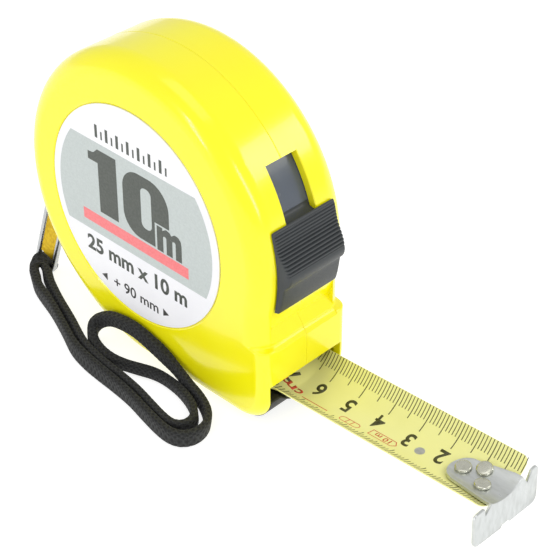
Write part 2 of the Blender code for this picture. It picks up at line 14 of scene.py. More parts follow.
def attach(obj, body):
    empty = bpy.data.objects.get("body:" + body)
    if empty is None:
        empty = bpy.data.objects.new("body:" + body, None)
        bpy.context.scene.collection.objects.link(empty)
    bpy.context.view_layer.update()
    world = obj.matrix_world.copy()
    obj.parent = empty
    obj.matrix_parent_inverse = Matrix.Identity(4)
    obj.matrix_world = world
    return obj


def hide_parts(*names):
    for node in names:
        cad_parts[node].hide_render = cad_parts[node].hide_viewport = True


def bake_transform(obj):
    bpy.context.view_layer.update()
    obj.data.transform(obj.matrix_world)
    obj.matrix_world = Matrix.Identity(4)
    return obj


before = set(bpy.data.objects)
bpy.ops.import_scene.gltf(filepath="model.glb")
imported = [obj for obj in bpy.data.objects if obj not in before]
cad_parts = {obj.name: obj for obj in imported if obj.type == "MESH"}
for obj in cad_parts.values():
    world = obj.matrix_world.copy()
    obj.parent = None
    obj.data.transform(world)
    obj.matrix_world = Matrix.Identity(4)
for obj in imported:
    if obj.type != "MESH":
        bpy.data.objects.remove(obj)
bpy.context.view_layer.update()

MM = 0.001
FRAME_X = 27.7            # the case centre is this far behind the frame's origin

# case
CASE_R = 45.0
CASE_Z = 45.0
HALF_T = 15.75
WALL = 2.2
EDGE_R = 6.2
FRONT_EDGE_R = 3.5
BASE_EDGE_R = 4.5
NOSE_R = 9.8
BLOCK_LOW = 22.0          # below this the front wall is upright
PARTING = 0.03            # each half stops this far short of the middle plane
FRONT_X = 43.7            # front of the upper body, behind the base block
LABEL_X = -1.2
LABEL_R = 31.3
LABEL_SIDES = 144
PRINT_Z = 44.7            # height of the middle of the print
FILM_T = 0.02             # thickness of an ink film
LABEL_TURN = -0.02        # the printed disc is glued on a degree out of true
MOUTH_HALF = 13.1
MOUTH_TOP = 13.3
MOUTH_BACK = 36.7
BOSS_R = 35.4
BOSS_ANGLES = (50.0, 130.0, 225.0, -22.0)

# lock
SLOT_HALF = 5.2
POCKET_R = 44.8
POCKET_HALF = 11.4
RIBS = 13
RIB_SHAPE = ((0.0, 0.12), (0.10, 0.0), (0.42, -0.02), (0.52, 0.10), (0.62, 0.34), (0.86, 0.36), (0.94, 0.24))
BUTTON_HALF = 10.95       # half its width at the foot
BUTTON_EDGE = 0.9

# blade and hook
BLADE_SLOPE = math.atan(0.0389)    # the blade droops a little towards the hook
BLADE_ARC_R = 12.8
BLADE_HALF = 12.5
BLADE_T = 0.25
ZERO_X = 108.8
ZERO_Z = 8.3
BLADE_END = -0.8          # positions along the blade count back from the hook, from zero
BLADE_CUP_END = -65.0     # from here to the tail the blade flattens
BLADE_TAIL = -71.5
TAIL_RISE = 3.6
HOOK_T = 0.8
HOOK_GAP = 0.3
TONGUE_BACK = -16.6
TONGUE_Y = 0.4
PLATE_HALF = 12.2
RIVETS = ((-13.2, 1.3), (-8.6, 4.1), (-5.9, -0.9))    # along, across

# bail
BAIL_Y = -8.0
BAIL_PIN = (-40.6, 34.1)
BAIL_PIN_R = 1.0
BAIL_WIRE_R = 0.9
BAIL_HALF = 3.4
BAIL_LONG = 33.8          # from the pin to the foot of the loop
BAIL_LEAN = (0.33, 0.944)     # the way the standing bail points, along X and Z
BAIL_UP = Vector((BAIL_LEAN[0], 0.0, BAIL_LEAN[1])).normalized()

# wrist strap, a flattened tubular braid lying on its edge
STRAP_THICK = 2.2
STRAP_ROUTE = (     # x, y, height of the middle, width standing up
    (-50.0, -13.4, 2.8, 4.9), (-46.4, -15.7, 2.8, 4.9), (-42.2, -17.9, 2.8, 4.9),
    (-32.5, -21.1, 2.8, 4.9), (-23.2, -24.8, 2.8, 4.9), (-14.8, -28.3, 2.8, 4.9), (-8.1, -29.8, 2.8, 4.9),
    (-1.9, -30.5, 2.8, 4.9), (4.9, -31.1, 2.8, 4.9), (12.3, -32.0, 2.8, 4.9), (19.1, -33.4, 2.8, 4.9),
    (26.0, -34.7, 2.8, 4.9), (30.6, -34.9, 2.8, 4.9), (33.7, -33.6, 2.8, 4.9), (35.3, -30.4, 2.8, 4.9),
    (34.6, -26.4, 2.8, 4.8), (31.6, -22.9, 2.8, 4.7), (26.4, -20.2, 2.9, 4.5), (20.5, -18.7, 3.6, 4.2),
    (14.5, -17.7, 5.4, 3.9), (9.4, -17.6, 7.4, 3.9), (4.3, -17.6, 8.9, 3.9), (-1.0, -17.6, 9.9, 3.9),
    (-6.5, -17.6, 9.6, 3.9), (-11.4, -17.8, 8.5, 4.0), (-14.8, -19.0, 6.6, 4.2), (-15.3, -20.9, 4.8, 4.2),
    (-12.9, -23.1, 3.5, 4.2), (-9.0, -24.3, 2.6, 4.1), (-4.0, -24.7, 2.4, 3.8), (0.4, -23.4, 2.2, 3.4),
    (4.7, -21.9, 2.2, 3.4), (8.4, -20.6, 2.2, 3.4), (12.4, -20.0, 2.1, 3.3), (18.3, -20.5, 2.2, 3.6),
    (24.0, -22.2, 2.5, 4.2), (28.2, -24.4, 2.7, 4.8), (30.9, -27.3, 2.8, 4.9), (31.0, -30.4, 2.8, 4.9),
    (28.8, -32.2, 2.8, 4.9), (25.0, -32.0, 2.8, 4.9), (19.0, -30.8, 2.8, 4.9), (12.3, -29.5, 2.8, 4.9),
    (4.9, -28.6, 2.8, 4.9), (-2.2, -28.0, 2.8, 4.9), (-8.6, -27.1, 2.8, 4.9), (-14.6, -25.6, 2.8, 4.9),
    (-23.0, -22.2, 2.8, 4.9), (-32.2, -18.5, 2.8, 4.9), (-41.0, -14.6, 2.8, 4.9), (-45.6, -12.2, 2.8, 4.9),
)


def place(x, y, z):
    """A point of the drawing, in metres in the frame."""
    return Vector(((x - FRAME_X) * MM, y * MM, z * MM))


# ---------------------------------------------------------------- camera, light and floor

def make_camera():
    turn, rise, roll = 0.7771, 0.6198, -0.0095
    back = Vector((math.sin(turn) * math.cos(rise), -math.cos(turn) * math.cos(rise), math.sin(rise)))
    level = (-back).cross(Vector((0.0, 0.0, 1.0))).normalized()
    above = level.cross(-back)
    right = level * math.cos(roll) + above * math.sin(roll)
    up = above * math.cos(roll) - level * math.sin(roll)
    data = bpy.data.cameras.new("camera")
    data.lens = 104.19
    data.sensor_width = 36.0
    data.shift_x = 0.01723
    data.shift_y = -0.01178
    data.clip_start = 0.01
    camera = bpy.data.objects.new("camera", data)
    camera.matrix_world = Matrix((
        (right.x, up.x, back.x, 0.23585),
        (right.y, up.y, back.y, -0.23604),
        (right.z, up.z, back.z, 0.27257),
        (0.0, 0.0, 0.0, 1.0)))
    bpy.context.scene.collection.objects.link(camera)
    bpy.context.scene.camera = camera


make_camera()


# ---------------------------------------------------------------- modelling helpers

def only(obj):
    """Selects one object and makes it active."""
    bpy.ops.object.select_all(action="DESELECT")
    obj.hide_set(False)
    obj.select_set(True)
    bpy.context.view_layer.objects.active = obj


def edit(obj, select="DESELECT"):
    """Opens one object for editing, with nothing or everything selected."""
    only(obj)
    bpy.ops.object.mode_set(mode="EDIT")
    bpy.ops.mesh.select_mode(type="VERT")
    bpy.ops.mesh.select_all(action=select)


def leave():
    bpy.ops.object.mode_set(mode="OBJECT")


def lay_ring(obj, ring):
    """Moves the selected ring of vertices onto its points, by each vertex's number in the ring."""
    bm = bmesh.from_edit_mesh(obj.data)
    number = bm.verts.layers.int["spoke"]
    for vert in bm.verts:
        if vert.select:
            vert.co = place(*ring[vert[number]])
    bmesh.update_edit_mesh(obj.data)


def skin(name, rings, caps=True, closed=False):
    """A ring of vertices extruded once for each further ring, then capped or joined to its start."""
    bpy.ops.object.select_all(action="DESELECT")
    bpy.ops.mesh.primitive_circle_add(vertices=len(rings[0]), radius=0.01)
    obj = bpy.context.object
    obj.name = obj.data.name = name
    number = obj.data.attributes.new("spoke", "INT", "POINT")
    number.data.foreach_set("value", list(range(len(rings[0]))))
    edit(obj, "SELECT")
    lay_ring(obj, rings[0])
    if caps:
        bpy.ops.mesh.edge_face_add()
    for ring in rings[1:]:
        bpy.ops.mesh.extrude_edges_indiv()
        lay_ring(obj, ring)
    if caps:
        bpy.ops.mesh.edge_face_add()
    bpy.ops.mesh.select_all(action="SELECT")
    if closed:
        bpy.ops.mesh.remove_doubles(threshold=1e-7)
    bpy.ops.mesh.normals_make_consistent(inside=False)
    leave()
    return obj


def apply_all(obj):
    only(obj)
    for mod in list(obj.modifiers):
        bpy.ops.object.modifier_apply(modifier=mod.name)
    return obj


def cut(obj, tools, kind="DIFFERENCE"):
    """Cuts or joins tool shapes and removes them."""
    for tool in tools:
        mod = obj.modifiers.new("cut", "BOOLEAN")
        mod.operation = kind
        mod.solver = "EXACT"
        mod.object = tool
        only(obj)
        bpy.ops.object.modifier_apply(modifier=mod.name)
        bpy.data.objects.remove(tool, do_unlink=True)
    return obj


def settle(obj):
    """Puts the object's place into its mesh, so that the object sits at the origin."""
    only(obj)
    bpy.ops.object.transform_apply(location=True, rotation=True, scale=True)
    return obj


def smooth(obj, degrees=32.0, weighted=True):
    only(obj)
    bpy.ops.object.shade_smooth_by_angle(angle=math.radians(degrees))
    if weighted:
        mod = obj.modifiers.new("even_faces", "WEIGHTED_NORMAL")
        mod.keep_sharp = True
        mod.weight = 80
        apply_all(obj)
    return obj


def finish_piece(obj, material, body, *nodes):
    """Gives the piece its material and its moving body, and hides the CAD nodes that it stands for."""
    obj.data.materials.clear()
    obj.data.materials.append(material)
    if "spoke" in obj.data.attributes:
        obj.data.attributes.remove(obj.data.attributes["spoke"])
    if body:
        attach(obj, body)
    if nodes:
        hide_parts(*nodes)
    return obj


def disc(name, x, z, radius, y_low, y_high, sides=96):
    """A round plug along Y."""
    bpy.ops.object.select_all(action="DESELECT")
    bpy.ops.mesh.primitive_cylinder_add(
        vertices=sides, radius=radius * MM, depth=(y_high - y_low) * MM,
        location=place(x, (y_low + y_high) / 2.0, z), rotation=(math.pi / 2, 0, 0))
    obj = bpy.context.object
    obj.name = obj.data.name = name
    return settle(obj)


def polar(radius, degrees):
    """A point of the side profile, from the spool axis."""
    angle = math.radians(degrees)
    return (radius * math.cos(angle), CASE_Z + radius * math.sin(angle))


def arc_sweep(name, section, start, end, steps):
    """Sweeps a closed (radius, y) section about the spool axis."""
    rings = []
    for i in range(steps + 1):
        degrees = start + (end - start) * i / steps
        ring = []
        for radius, y in section:
            x, z = polar(radius, degrees)
            ring.append((x, y, z))
        rings.append(ring)
    return skin(name, rings)


def merge(obj, distance):
    """Joins vertices closer than the distance."""
    edit(obj, "SELECT")
    bpy.ops.mesh.remove_doubles(threshold=distance)
    leave()


def circle_ring(radius, y):
    """A ring of points round the label's middle."""
    ring = []
    for i in range(LABEL_SIDES):
        angle = 2.0 * math.pi * i / LABEL_SIDES
        ring.append((LABEL_X + radius * math.cos(angle), y, CASE_Z + radius * math.sin(angle)))
    return ring


def share(value, low, high):
    """How far the value is from low to high, held between 0 and 1."""
    return max(0.0, min(1.0, (value - low) / (high - low)))


def eased(value, low, high):
    t = share(value, low, high)
    return t * t * (3.0 - 2.0 * t)


# ---------------------------------------------------------------- finishes

def linear(colour):
    """An sRGB hex value such as "fff000" as linear red, green and blue."""
    out = []
    for i in (0, 2, 4):
        c = int(colour[i:i + 2], 16) / 255.0
        out.append(c / 12.92 if c <= 0.04045 else ((c + 0.055) / 1.055) ** 2.4)
    return (*out, 1.0)


def add(tree, kind, sockets=None, **settings):
    """One node, with its settings, and its sockets given as values or as the outputs that feed them."""
    node = tree.nodes.new(kind)
    for name, value in settings.items():
        setattr(node, name, value)
    for name, value in (sockets or {}).items():
        if isinstance(value, bpy.types.NodeSocket):
            tree.links.new(value, node.inputs[name])
        else:
            node.inputs[name].default_value = value
    return node


def finish_of(name):
    """A new material with its Principled shader."""
    material = bpy.data.materials.new(name)
    material.use_nodes = True
    return material, material.node_tree, material.node_tree.nodes["Principled BSDF"]


def ramp(tree, factor, stops):
    node = add(tree, "ShaderNodeValToRGB", {"Fac": factor})
    while len(node.color_ramp.elements) < len(stops):
        node.color_ramp.elements.new(0.5)
    for element, (position, colour) in zip(node.color_ramp.elements, stops):
        element.position = position
        element.color = colour if len(colour) == 4 else (*colour, 1.0)
    return node.outputs["Color"]


def grey(value):
    return (value, value, value, 1.0)


def moulded(name, colour, shade, rough, grain_mm, grain_height, rough_spread=0.06, coat=0.0):
    """Injection-moulded plastic: an even colour with faint flow clouds, and a fine skin in the gloss."""
    material, tree, shader = finish_of(name)
    spot = add(tree, "ShaderNodeTexCoord").outputs["Object"]
    clouds = add(tree, "ShaderNodeTexNoise", {"Vector": spot, "Scale": 1.0 / (22.0 * MM), "Detail": 3.0})
    colours = ramp(tree, clouds.outputs["Fac"], ((0.30, linear(shade)), (0.62, linear(colour))))
    tree.links.new(colours, shader.inputs["Base Color"])
    skin_noise = add(tree, "ShaderNodeTexNoise", {"Vector": spot, "Scale": 1.0 / (grain_mm * MM), "Detail": 4.0})
    gloss = ramp(tree, skin_noise.outputs["Fac"],
                 ((0.3, grey(rough - rough_spread)), (0.7, grey(rough + rough_spread))))
    tree.links.new(gloss, shader.inputs["Roughness"])
    bump = add(tree, "ShaderNodeBump",
               {"Height": skin_noise.outputs["Fac"], "Strength": 0.35, "Distance": grain_height * MM})
    tree.links.new(bump.outputs["Normal"], shader.inputs["Normal"])
    shader.inputs["IOR"].default_value = 1.53
    shader.inputs["Coat Weight"].default_value = coat
    shader.inputs["Coat Roughness"].default_value = 0.08
    return material


def metal(name, colour, shade, rough, scratch_mm, stretch, bump_mm=0.004):
    """Bare metal with fine drawn or polished marks along one way."""
    material, tree, shader = finish_of(name)
    spot = add(tree, "ShaderNodeTexCoord").outputs["Object"]
    turned = add(tree, "ShaderNodeMapping", {"Vector": spot, "Scale": stretch})
    marks = add(tree, "ShaderNodeTexNoise",
                {"Vector": turned.outputs["Vector"], "Scale": 1.0 / (scratch_mm * MM), "Detail": 5.0}).outputs["Fac"]
    colours = ramp(tree, marks, ((0.3, linear(shade)), (0.7, linear(colour))))
    tree.links.new(colours, shader.inputs["Base Color"])
    gloss = ramp(tree, marks, ((0.3, grey(rough * 1.35)), (0.7, grey(rough * 0.8))))
    tree.links.new(gloss, shader.inputs["Roughness"])
    bump = add(tree, "ShaderNodeBump", {"Height": marks, "Strength": 0.25, "Distance": bump_mm * MM})
    tree.links.new(bump.outputs["Normal"], shader.inputs["Normal"])
    shader.inputs["Metallic"].default_value = 1.0
    return material


def ink(name, colour, shade, rough):
    """Screen-printed ink: a flat film, a little uneven where it took less."""
    material, tree, shader = finish_of(name)
    spot = add(tree, "ShaderNodeTexCoord").outputs["Object"]
    film = add(tree, "ShaderNodeTexNoise", {"Vector": spot, "Scale": 1.0 / (0.6 * MM), "Detail": 4.0}).outputs["Fac"]
    colours = ramp(tree, film, ((0.35, linear(shade)), (0.65, linear(colour))))
    tree.links.new(colours, shader.inputs["Base Color"])
    gloss = ramp(tree, film, ((0.3, grey(rough + 0.05)), (0.7, grey(rough - 0.05))))
    tree.links.new(gloss, shader.inputs["Roughness"])
    return material


def braid_finish():
    """Braided polyester: matt black yarns with a random fibre tone, painted greyer on their crowns as painted
    highlight and darker in the gaps as painted shade.
    """
    material, tree, shader = finish_of("braided_black_polyester")
    depth = add(tree, "ShaderNodeAttribute", attribute_name="crown").outputs["Fac"]
    spot = add(tree, "ShaderNodeTexCoord").outputs["Object"]
    fibre = add(tree, "ShaderNodeTexNoise", {"Vector": spot, "Scale": 1.0 / (0.35 * MM), "Detail": 5.0})
    fibre_tone_and_painted_crown_shade = add(tree, "ShaderNodeMath", {0: depth, 1: fibre.outputs["Fac"]}, operation="MULTIPLY")
    # Painted highlight and shade: the crown height makes the yarn crowns greyer and the gaps between yarns darker.
    colours = ramp(tree, fibre_tone_and_painted_crown_shade.outputs["Value"],
                   ((0.05, linear("050505")), (0.38, linear("131414")), (0.62, linear("343636"))))
    tree.links.new(colours, shader.inputs["Base Color"])
    shader.inputs["Roughness"].default_value = 0.82
    shader.inputs["Sheen Weight"].default_value = 0.06
    shader.inputs["Sheen Roughness"].default_value = 0.5
    bump = add(tree, "ShaderNodeBump", {"Height": fibre.outputs["Fac"], "Strength": 0.6, "Distance": 0.12 * MM})
    tree.links.new(bump.outputs["Normal"], shader.inputs["Normal"])
    return material


# Polished moulded ABS: a strong clean yellow with wide soft highlights.
YELLOW = moulded("moulded_yellow_abs", "fff70c", "fff408", 0.2, 7.0, 0.03, 0.03, 0.35)
# Satin plastic film: white, with no sharp reflection.
WHITE_LABEL = moulded("white_label_film", "f8f8fb", "f1f1f5", 0.42, 0.8, 0.004)
# Screen inks on the label: flat, cool silver, charcoal and coral, and near black for the small print.
SILVER_INK = ink("silver_grey_ink", "c5cdcb", "bec6c4", 0.42)
DARK_INK = ink("dark_grey_ink", "545953", "4d524c", 0.5)
RED_INK = ink("coral_red_ink", "f78689", "f27b7e", 0.5)
SMALL_INK = ink("small_print_ink", "3a3a38", "323230", 0.5)
# Spark-textured acetal: charcoal, dull on the ribs, with a faint sheen on the nose.
BUTTON_PLASTIC = moulded("moulded_charcoal_acetal", "363a3c", "2e3234", 0.46, 0.5, 0.012)
# Polished charcoal acetal: its bluish grey colour is a painted reflection of the pale room.
STRIP_WITH_PAINTED_REFLECTION = moulded("glossy_charcoal_strip_painted_reflection", "5a616c", "464c57", 0.22, 3.0, 0.02)
# Moulded nylon in the mouth: nearly black and matt.
BLACK_NYLON = moulded("black_nylon_insert", "1c1c1c", "141414", 0.55, 0.5, 0.02)
# Enamel under a nylon coat: pale yellow with a broad soft shine, printed in olive black and red.
BLADE_PAINT = moulded("nylon_coated_yellow_steel", "f8f6a2", "f5f298", 0.34, 2.5, 0.006, 0.04, 0.25)
BLADE_INK = ink("olive_black_ink", "4e4e24", "444420", 0.45)
BLADE_RED = ink("red_ink", "d8542e", "cf4a28", 0.45)
# Bare steel dot, dull.
GREY_PIP = metal("bare_steel_pip", "cfcfc8", "bdbdb6", 0.35, 0.8, (1.0, 1.0, 1.0))
# Nickel plate over sheet steel: pale, satin, with only a trace of drawing marks.
HOOK_STEEL = metal("nickel_plated_steel", "d6d9d8", "cbcecc", 0.34, 3.0, (1.0, 3.0, 1.0), 0.001)
# Rivet steel: its faint yellow tint is a painted reflection of the yellow blade and case.
RIVET_STEEL_PAINTED_REFLECTION = metal("nickel_rivet_painted_reflection", "d8d8ca", "c4c4b6", 0.24, 0.8, (1.0, 1.0, 1.0))
# Polished plated wire: bright, with thin dark edges.
WIRE_STEEL = metal("polished_bail_wire", "c9cbcd", "b4b6b9", 0.24, 1.5, (6.0, 6.0, 1.0))
# A flat sheet inside the bail, coloured deep gold as a painted reflection of the shaded yellow case.
WEB_PAINTED_REFLECTION = metal("gold_painted_reflection_web", "dcba12", "c29d0a", 0.35, 0.9, (1.0, 1.0, 1.0))
# Zinc plate: bluish and a little cloudy.
SCREW_STEEL = metal("zinc_plated_screw", "b9bcc0", "9b9ea3", 0.28, 0.7, (1.0, 1.0, 1.0))
BRAID = braid_finish()


# ---------------------------------------------------------------- strap

def strand(points, steps):
    """Catmull-Rom curve through rows of numbers."""
    rows = np.array(points, float)
    out = []
    for i in range(len(rows) - 1):
        p0, p1 = rows[max(i - 1, 0)], rows[i]
        p2, p3 = rows[i + 1], rows[min(i + 2, len(rows) - 1)]
        for k in range(steps):
            t = k / steps
            out.append(0.5 * (2 * p1 + (p2 - p0) * t + (2 * p0 - 5 * p1 + 4 * p2 - p3) * t ** 2
                              + (3 * p1 - p0 - 3 * p2 + p3) * t ** 3))
    out.append(rows[-1])
    return np.array(out)


def even(rows, gap):
    """The same curve at equal steps along its first three columns."""
    run = np.concatenate([[0.0], np.cumsum(np.linalg.norm(np.diff(rows[:, :3], axis=0), axis=1))])
    count = int(round(run[-1] / gap))
    at = np.linspace(0.0, run[-1], count + 1)
    return np.stack([np.interp(at, run, rows[:, k]) for k in range(rows.shape[1])], axis=1), at


def strap_frames():
    """Rows of x, y, z, width direction x, y, z, width and thickness along the whole strap."""
    bar = [middle - lean * BAIL_LONG for middle, lean in zip(BAIL_PIN, BAIL_LEAN)]
    flat = (BAIL_LEAN[1], 0.0, -BAIL_LEAN[0])
    rows = [
        (bar[0] + 0.4, -7.6, bar[1] - 1.3, *flat, 5.0, 1.3),
        (bar[0] + 0.2, -6.2, bar[1] + 0.1, *flat, 5.4, 1.4),
        (bar[0], -7.2, bar[1] + 1.7, *flat, 5.7, 1.4),
        (bar[0] - 0.1, -9.0, bar[1] + 1.9, *flat, 6.0, 1.5),
        (bar[0], -10.8, bar[1] + 1.4, 0.95, 0.0, 0.1, 5.9, 1.7),
        (bar[0] + 0.6, -12.4, bar[1] + 1.0, 0.75, 0.0, 0.66, 5.6, 2.0),
    ]
    for x, y, z, high in STRAP_ROUTE:
        raised = x < 10.0 and z > 3.3
        turned = -13.0 < x < -3.0 and -24.9 < y < -22.0
        plump = 0.8 if raised or turned else 0.0
        rows.append((x, y, z, 0.0, 0.0, 1.0, high, STRAP_THICK + plump + 0.7 * share(-x, 38.0, 46.0)))
    rows += [
        (-48.2, -10.9, 2.7, -0.3, 0.0, 0.95, 4.9, 2.0),
        (bar[0] + 1.9, -9.9, 2.0, -0.9, 0.0, 0.6, 4.8, 1.6),
        (bar[0] + 1.0, -8.6, 0.95, -flat[0], 0.0, -flat[2], 4.6, 1.2),
    ]
    return rows


def braid_height(run, around, girth):
    """Crowns of a two-under-two-over braid, from 0 in the gaps to 1 on the yarns."""
    yarns = 16.0
    pitch = girth / yarns
    lean = run / (pitch * 1.05)
    turn = around / pitch
    one = np.abs(np.sin(math.pi * (turn + lean) * 0.5)) ** 0.7
    two = np.abs(np.sin(math.pi * (turn - lean) * 0.5)) ** 0.7
    over = 0.5 + 0.5 * np.sin(math.pi * 0.5 * (turn * 2.0)) * np.sin(math.pi * 0.5 * (lean * 2.0))
    return over * one + (1.0 - over) * two


def make_strap():
    rows, run = even(strand(strap_frames(), 8), 0.95)
    count = len(rows)
    spots = rows[:, :3]
    ahead = np.gradient(spots, axis=0)
    ahead /= np.linalg.norm(ahead, axis=1)[:, None]
    sides = 28
    rings, girths = [], []
    for i in range(count):
        wide = rows[i, 3:6]
        wide = wide - ahead[i] * (wide @ ahead[i])
        wide /= np.linalg.norm(wide)
        lean = math.radians(5.0) * math.sin(run[i] * 0.071 + 0.6) + math.radians(3.0) * math.sin(run[i] * 0.19)
        out = np.cross(ahead[i], wide)
        wide, out = wide * math.cos(lean) + out * math.sin(lean), out * math.cos(lean) - wide * math.sin(lean)
        a, b = rows[i, 6] / 2.0, rows[i, 7] / 2.0
        ring = []
        for k in range(sides):
            angle = 2.0 * math.pi * (k + 0.5) / sides - math.pi / 2
            s, c = math.sin(angle), math.cos(angle)
            up = a * math.copysign(abs(s) ** 0.62, s)
            off = b * math.copysign(abs(c) ** 0.55, c) * (1.0 - 0.10 * math.cos(2.0 * angle))
            ring.append(tuple(spots[i] + wide * up + out * off))
        rings.append(ring)
        loop = np.array(ring + ring[:1])
        girths.append(np.linalg.norm(np.diff(loop, axis=0), axis=1).sum())
    strap = skin("wrist_strap_braid", rings)
    girth = float(np.median(girths))
    along = strap.data.attributes.new("run", "FLOAT", "POINT")
    round_it = strap.data.attributes.new("around", "FLOAT", "POINT")
    number = np.zeros(len(strap.data.vertices), int)
    strap.data.attributes["spoke"].data.foreach_get("value", number)
    order = np.arange(len(number)) // sides
    along.data.foreach_set("value", run[np.minimum(order, count - 1)].astype(np.float32))
    round_it.data.foreach_set("value", ((number + 0.5) / sides * girth).astype(np.float32))
    mod = strap.modifiers.new("finer", "SUBSURF")
    mod.levels = mod.render_levels = 2
    mod.use_creases = False
    apply_all(strap)
    weave_yarns(strap, girth)
    only(strap)
    bpy.ops.object.shade_smooth()
    finish_piece(strap, BRAID, None)
    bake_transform(strap)
    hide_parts("wrist_strap")
    return strap


def weave_yarns(strap, girth):
    """Lifts each vertex onto its yarn and keeps how high it stands, for the painted highlight on the crowns and
    painted shade in the gaps.
    """
    mesh = strap.data
    count = len(mesh.vertices)
    run, around = np.zeros(count), np.zeros(count)
    mesh.attributes["run"].data.foreach_get("value", run)
    mesh.attributes["around"].data.foreach_get("value", around)
    height = braid_height(run, around, girth)
    normal = np.zeros(count * 3)
    mesh.vertex_normals.foreach_get("vector", normal)
    spot = np.zeros(count * 3)
    mesh.vertices.foreach_get("co", spot)
    spot = spot.reshape(-1, 3) + normal.reshape(-1, 3) * ((height - 0.62) * 0.26 * MM)[:, None]
    spot[:, 2] = np.maximum(spot[:, 2], 0.05 * MM)
    mesh.vertices.foreach_set("co", spot.ravel())
    # The crown height drives the painted highlight on the crowns and painted shade in the gaps.
    crown = mesh.attributes.new("crown", "FLOAT", "POINT")
    crown.data.foreach_set("value", height.astype(np.float32))
    mesh.update()


make_strap()


# ---------------------------------------------------------------- case

def case_outline():
    """Stations round the side profile: outer point, inner point, edge rounding and inward direction."""
    stations = []
    inner_r = CASE_R - WALL
    turns = 180

    def on_circle(degrees, edge, inner=None):
        c, s = math.cos(math.radians(degrees)), math.sin(math.radians(degrees))
        stations.append((polar(CASE_R, degrees), inner or polar(inner_r, degrees), edge, (-c, -s)))

    for i in range(turns + 1):
        degrees = 270.0 * i / turns
        on_circle(degrees, EDGE_R + (BASE_EDGE_R - EDGE_R) * eased(degrees, 225.0, 270.0))
    for i in range(1, 8):
        x = 35.2 * i / 8
        stations.append(((x, 0.0), (x, WALL), BASE_EDGE_R, (0.0, 1.0)))
    centre = CASE_R - NOSE_R
    for i in range(17):
        angle = math.radians(270.0 + 90.0 * i / 16)
        c, s = math.cos(angle), math.sin(angle)
        outer = (centre + NOSE_R * c, NOSE_R + NOSE_R * s)
        inner = (centre + (NOSE_R - WALL) * c, NOSE_R + (NOSE_R - WALL) * s)
        edge = BASE_EDGE_R + (FRONT_EDGE_R - BASE_EDGE_R) * eased(i, 0, 16)
        stations.append((outer, inner, edge, (-c, -s)))
    step = [(CASE_R, z) for z in (12.5, 15.0, 17.5, 20.0, 22.0, 23.2, 23.9)]
    step += [(44.96, 24.15), (44.86, 24.32), (44.68, 24.44), (44.3, 24.62), (43.95, 24.8), (43.78, 24.95)]
    step += [(FRONT_X, 25.2)]
    step += [(FRONT_X, z) for z in (25.8, 26.8, 28.0, 29.5, 31.0, 32.6)]
    for x, z in step:
        edge = FRONT_EDGE_R + (EDGE_R - FRONT_EDGE_R) * eased(z, 24.1, 25.3)
        stations.append(((x, z), (front_inner(z), z), edge, (-1.0, 0.0)))
    for degrees in (-13.8, -12.0, -10.0, -8.0, -6.0, -4.0, -2.0):
        on_circle(degrees, EDGE_R, (front_inner(polar(CASE_R, degrees)[1]), polar(CASE_R, degrees)[1]))
    return stations


def front_inner(z):
    """Inner face of the front wall: upright low down, then on the slider's arc."""
    inner_r = CASE_R - WALL
    if z <= BLOCK_LOW:
        return inner_r
    if z < 29.0:
        low = math.sqrt(inner_r ** 2 - (CASE_Z - 29.0) ** 2)
        return inner_r + (low - inner_r) * (z - BLOCK_LOW) / (29.0 - BLOCK_LOW)
    return math.sqrt(inner_r ** 2 - (CASE_Z - z) ** 2)


def inward(points):
    """Unit directions pointing into a closed outline, one for each point."""
    out = []
    count = len(points)
    for i in range(count):
        before, after = points[i - 1], points[(i + 1) % count]
        tx, tz = after[0] - before[0], after[1] - before[1]
        size = math.hypot(tx, tz)
        out.append((-tz / size, tx / size))
    return out


def rim_rings(points, edges, turn, depth, steps, side):
    """Rings from the parting plane out to a side face over a rounded edge."""
    lip = 0.14
    rings = []
    for inset, y in ((lip, 0.0), (0.05, 0.06), (0.0, 0.16)):
        rings.append([(x + nx * inset, side * (PARTING + y), z + nz * inset)
                      for (x, z), (nx, nz) in zip(points, turn)])
    for step in range(steps + 1):
        angle = 0.5 * math.pi * (steps - step) / steps
        ring = []
        for (x, z), (nx, nz), edge in zip(points, turn, edges):
            inset = edge * (1.0 - math.sin(angle))
            y = depth - edge * (1.0 - math.cos(angle))
            ring.append((x + nx * inset, side * y, z + nz * inset))
        rings.append(ring)
    return rings


def half_shell(name, side):
    """One half of the case: out over the rounded rim, back along the wall's inside, closed by both faces."""
    stations = case_outline()
    outer = [item[0] for item in stations]
    inner = [item[1] for item in stations]
    edges = [item[2] for item in stations]
    thin = [max(0.8, edge - WALL) for edge in edges]
    rings = list(reversed(rim_rings(outer, edges, [item[3] for item in stations], HALF_T, 12, side)))
    turn = inward(inner)
    depth = HALF_T - WALL
    rings.append([(x, side * PARTING, z) for x, z in inner])
    for step in range(4):
        angle = 0.5 * math.pi * (3 - step) / 3
        ring = []
        for (x, z), (nx, nz), edge in zip(inner, turn, thin):
            inset = edge * (1.0 - math.sin(angle))
            ring.append((x + nx * inset, side * (depth - edge * (1.0 - math.cos(angle))), z + nz * inset))
        rings.append(ring)
    return skin(name, rings)


def label_tool(side):
    """The shallow round seat for the label, with a broken edge."""
    low, high = HALF_T - 0.5, HALF_T + 2.0
    wall = LABEL_R + 0.3
    profile = ((wall, low), (wall, HALF_T - 0.22), (LABEL_R + 0.62, HALF_T + 0.02), (LABEL_R + 2.6, high))
    return skin("label_seat", [circle_ring(radius, side * y) for radius, y in profile])


def slot_tool():
    """The slot that the lock strip runs in, with broken edges."""
    section = [(39.0, -SLOT_HALF), (44.75, -SLOT_HALF), (45.1, -SLOT_HALF - 0.3), (47.0, -SLOT_HALF - 2.2),
               (47.0, SLOT_HALF + 2.2), (45.1, SLOT_HALF + 0.3), (44.75, SLOT_HALF), (39.0, SLOT_HALF)]
    return arc_sweep("lock_slot", section, -1.0, 36.6, 20)


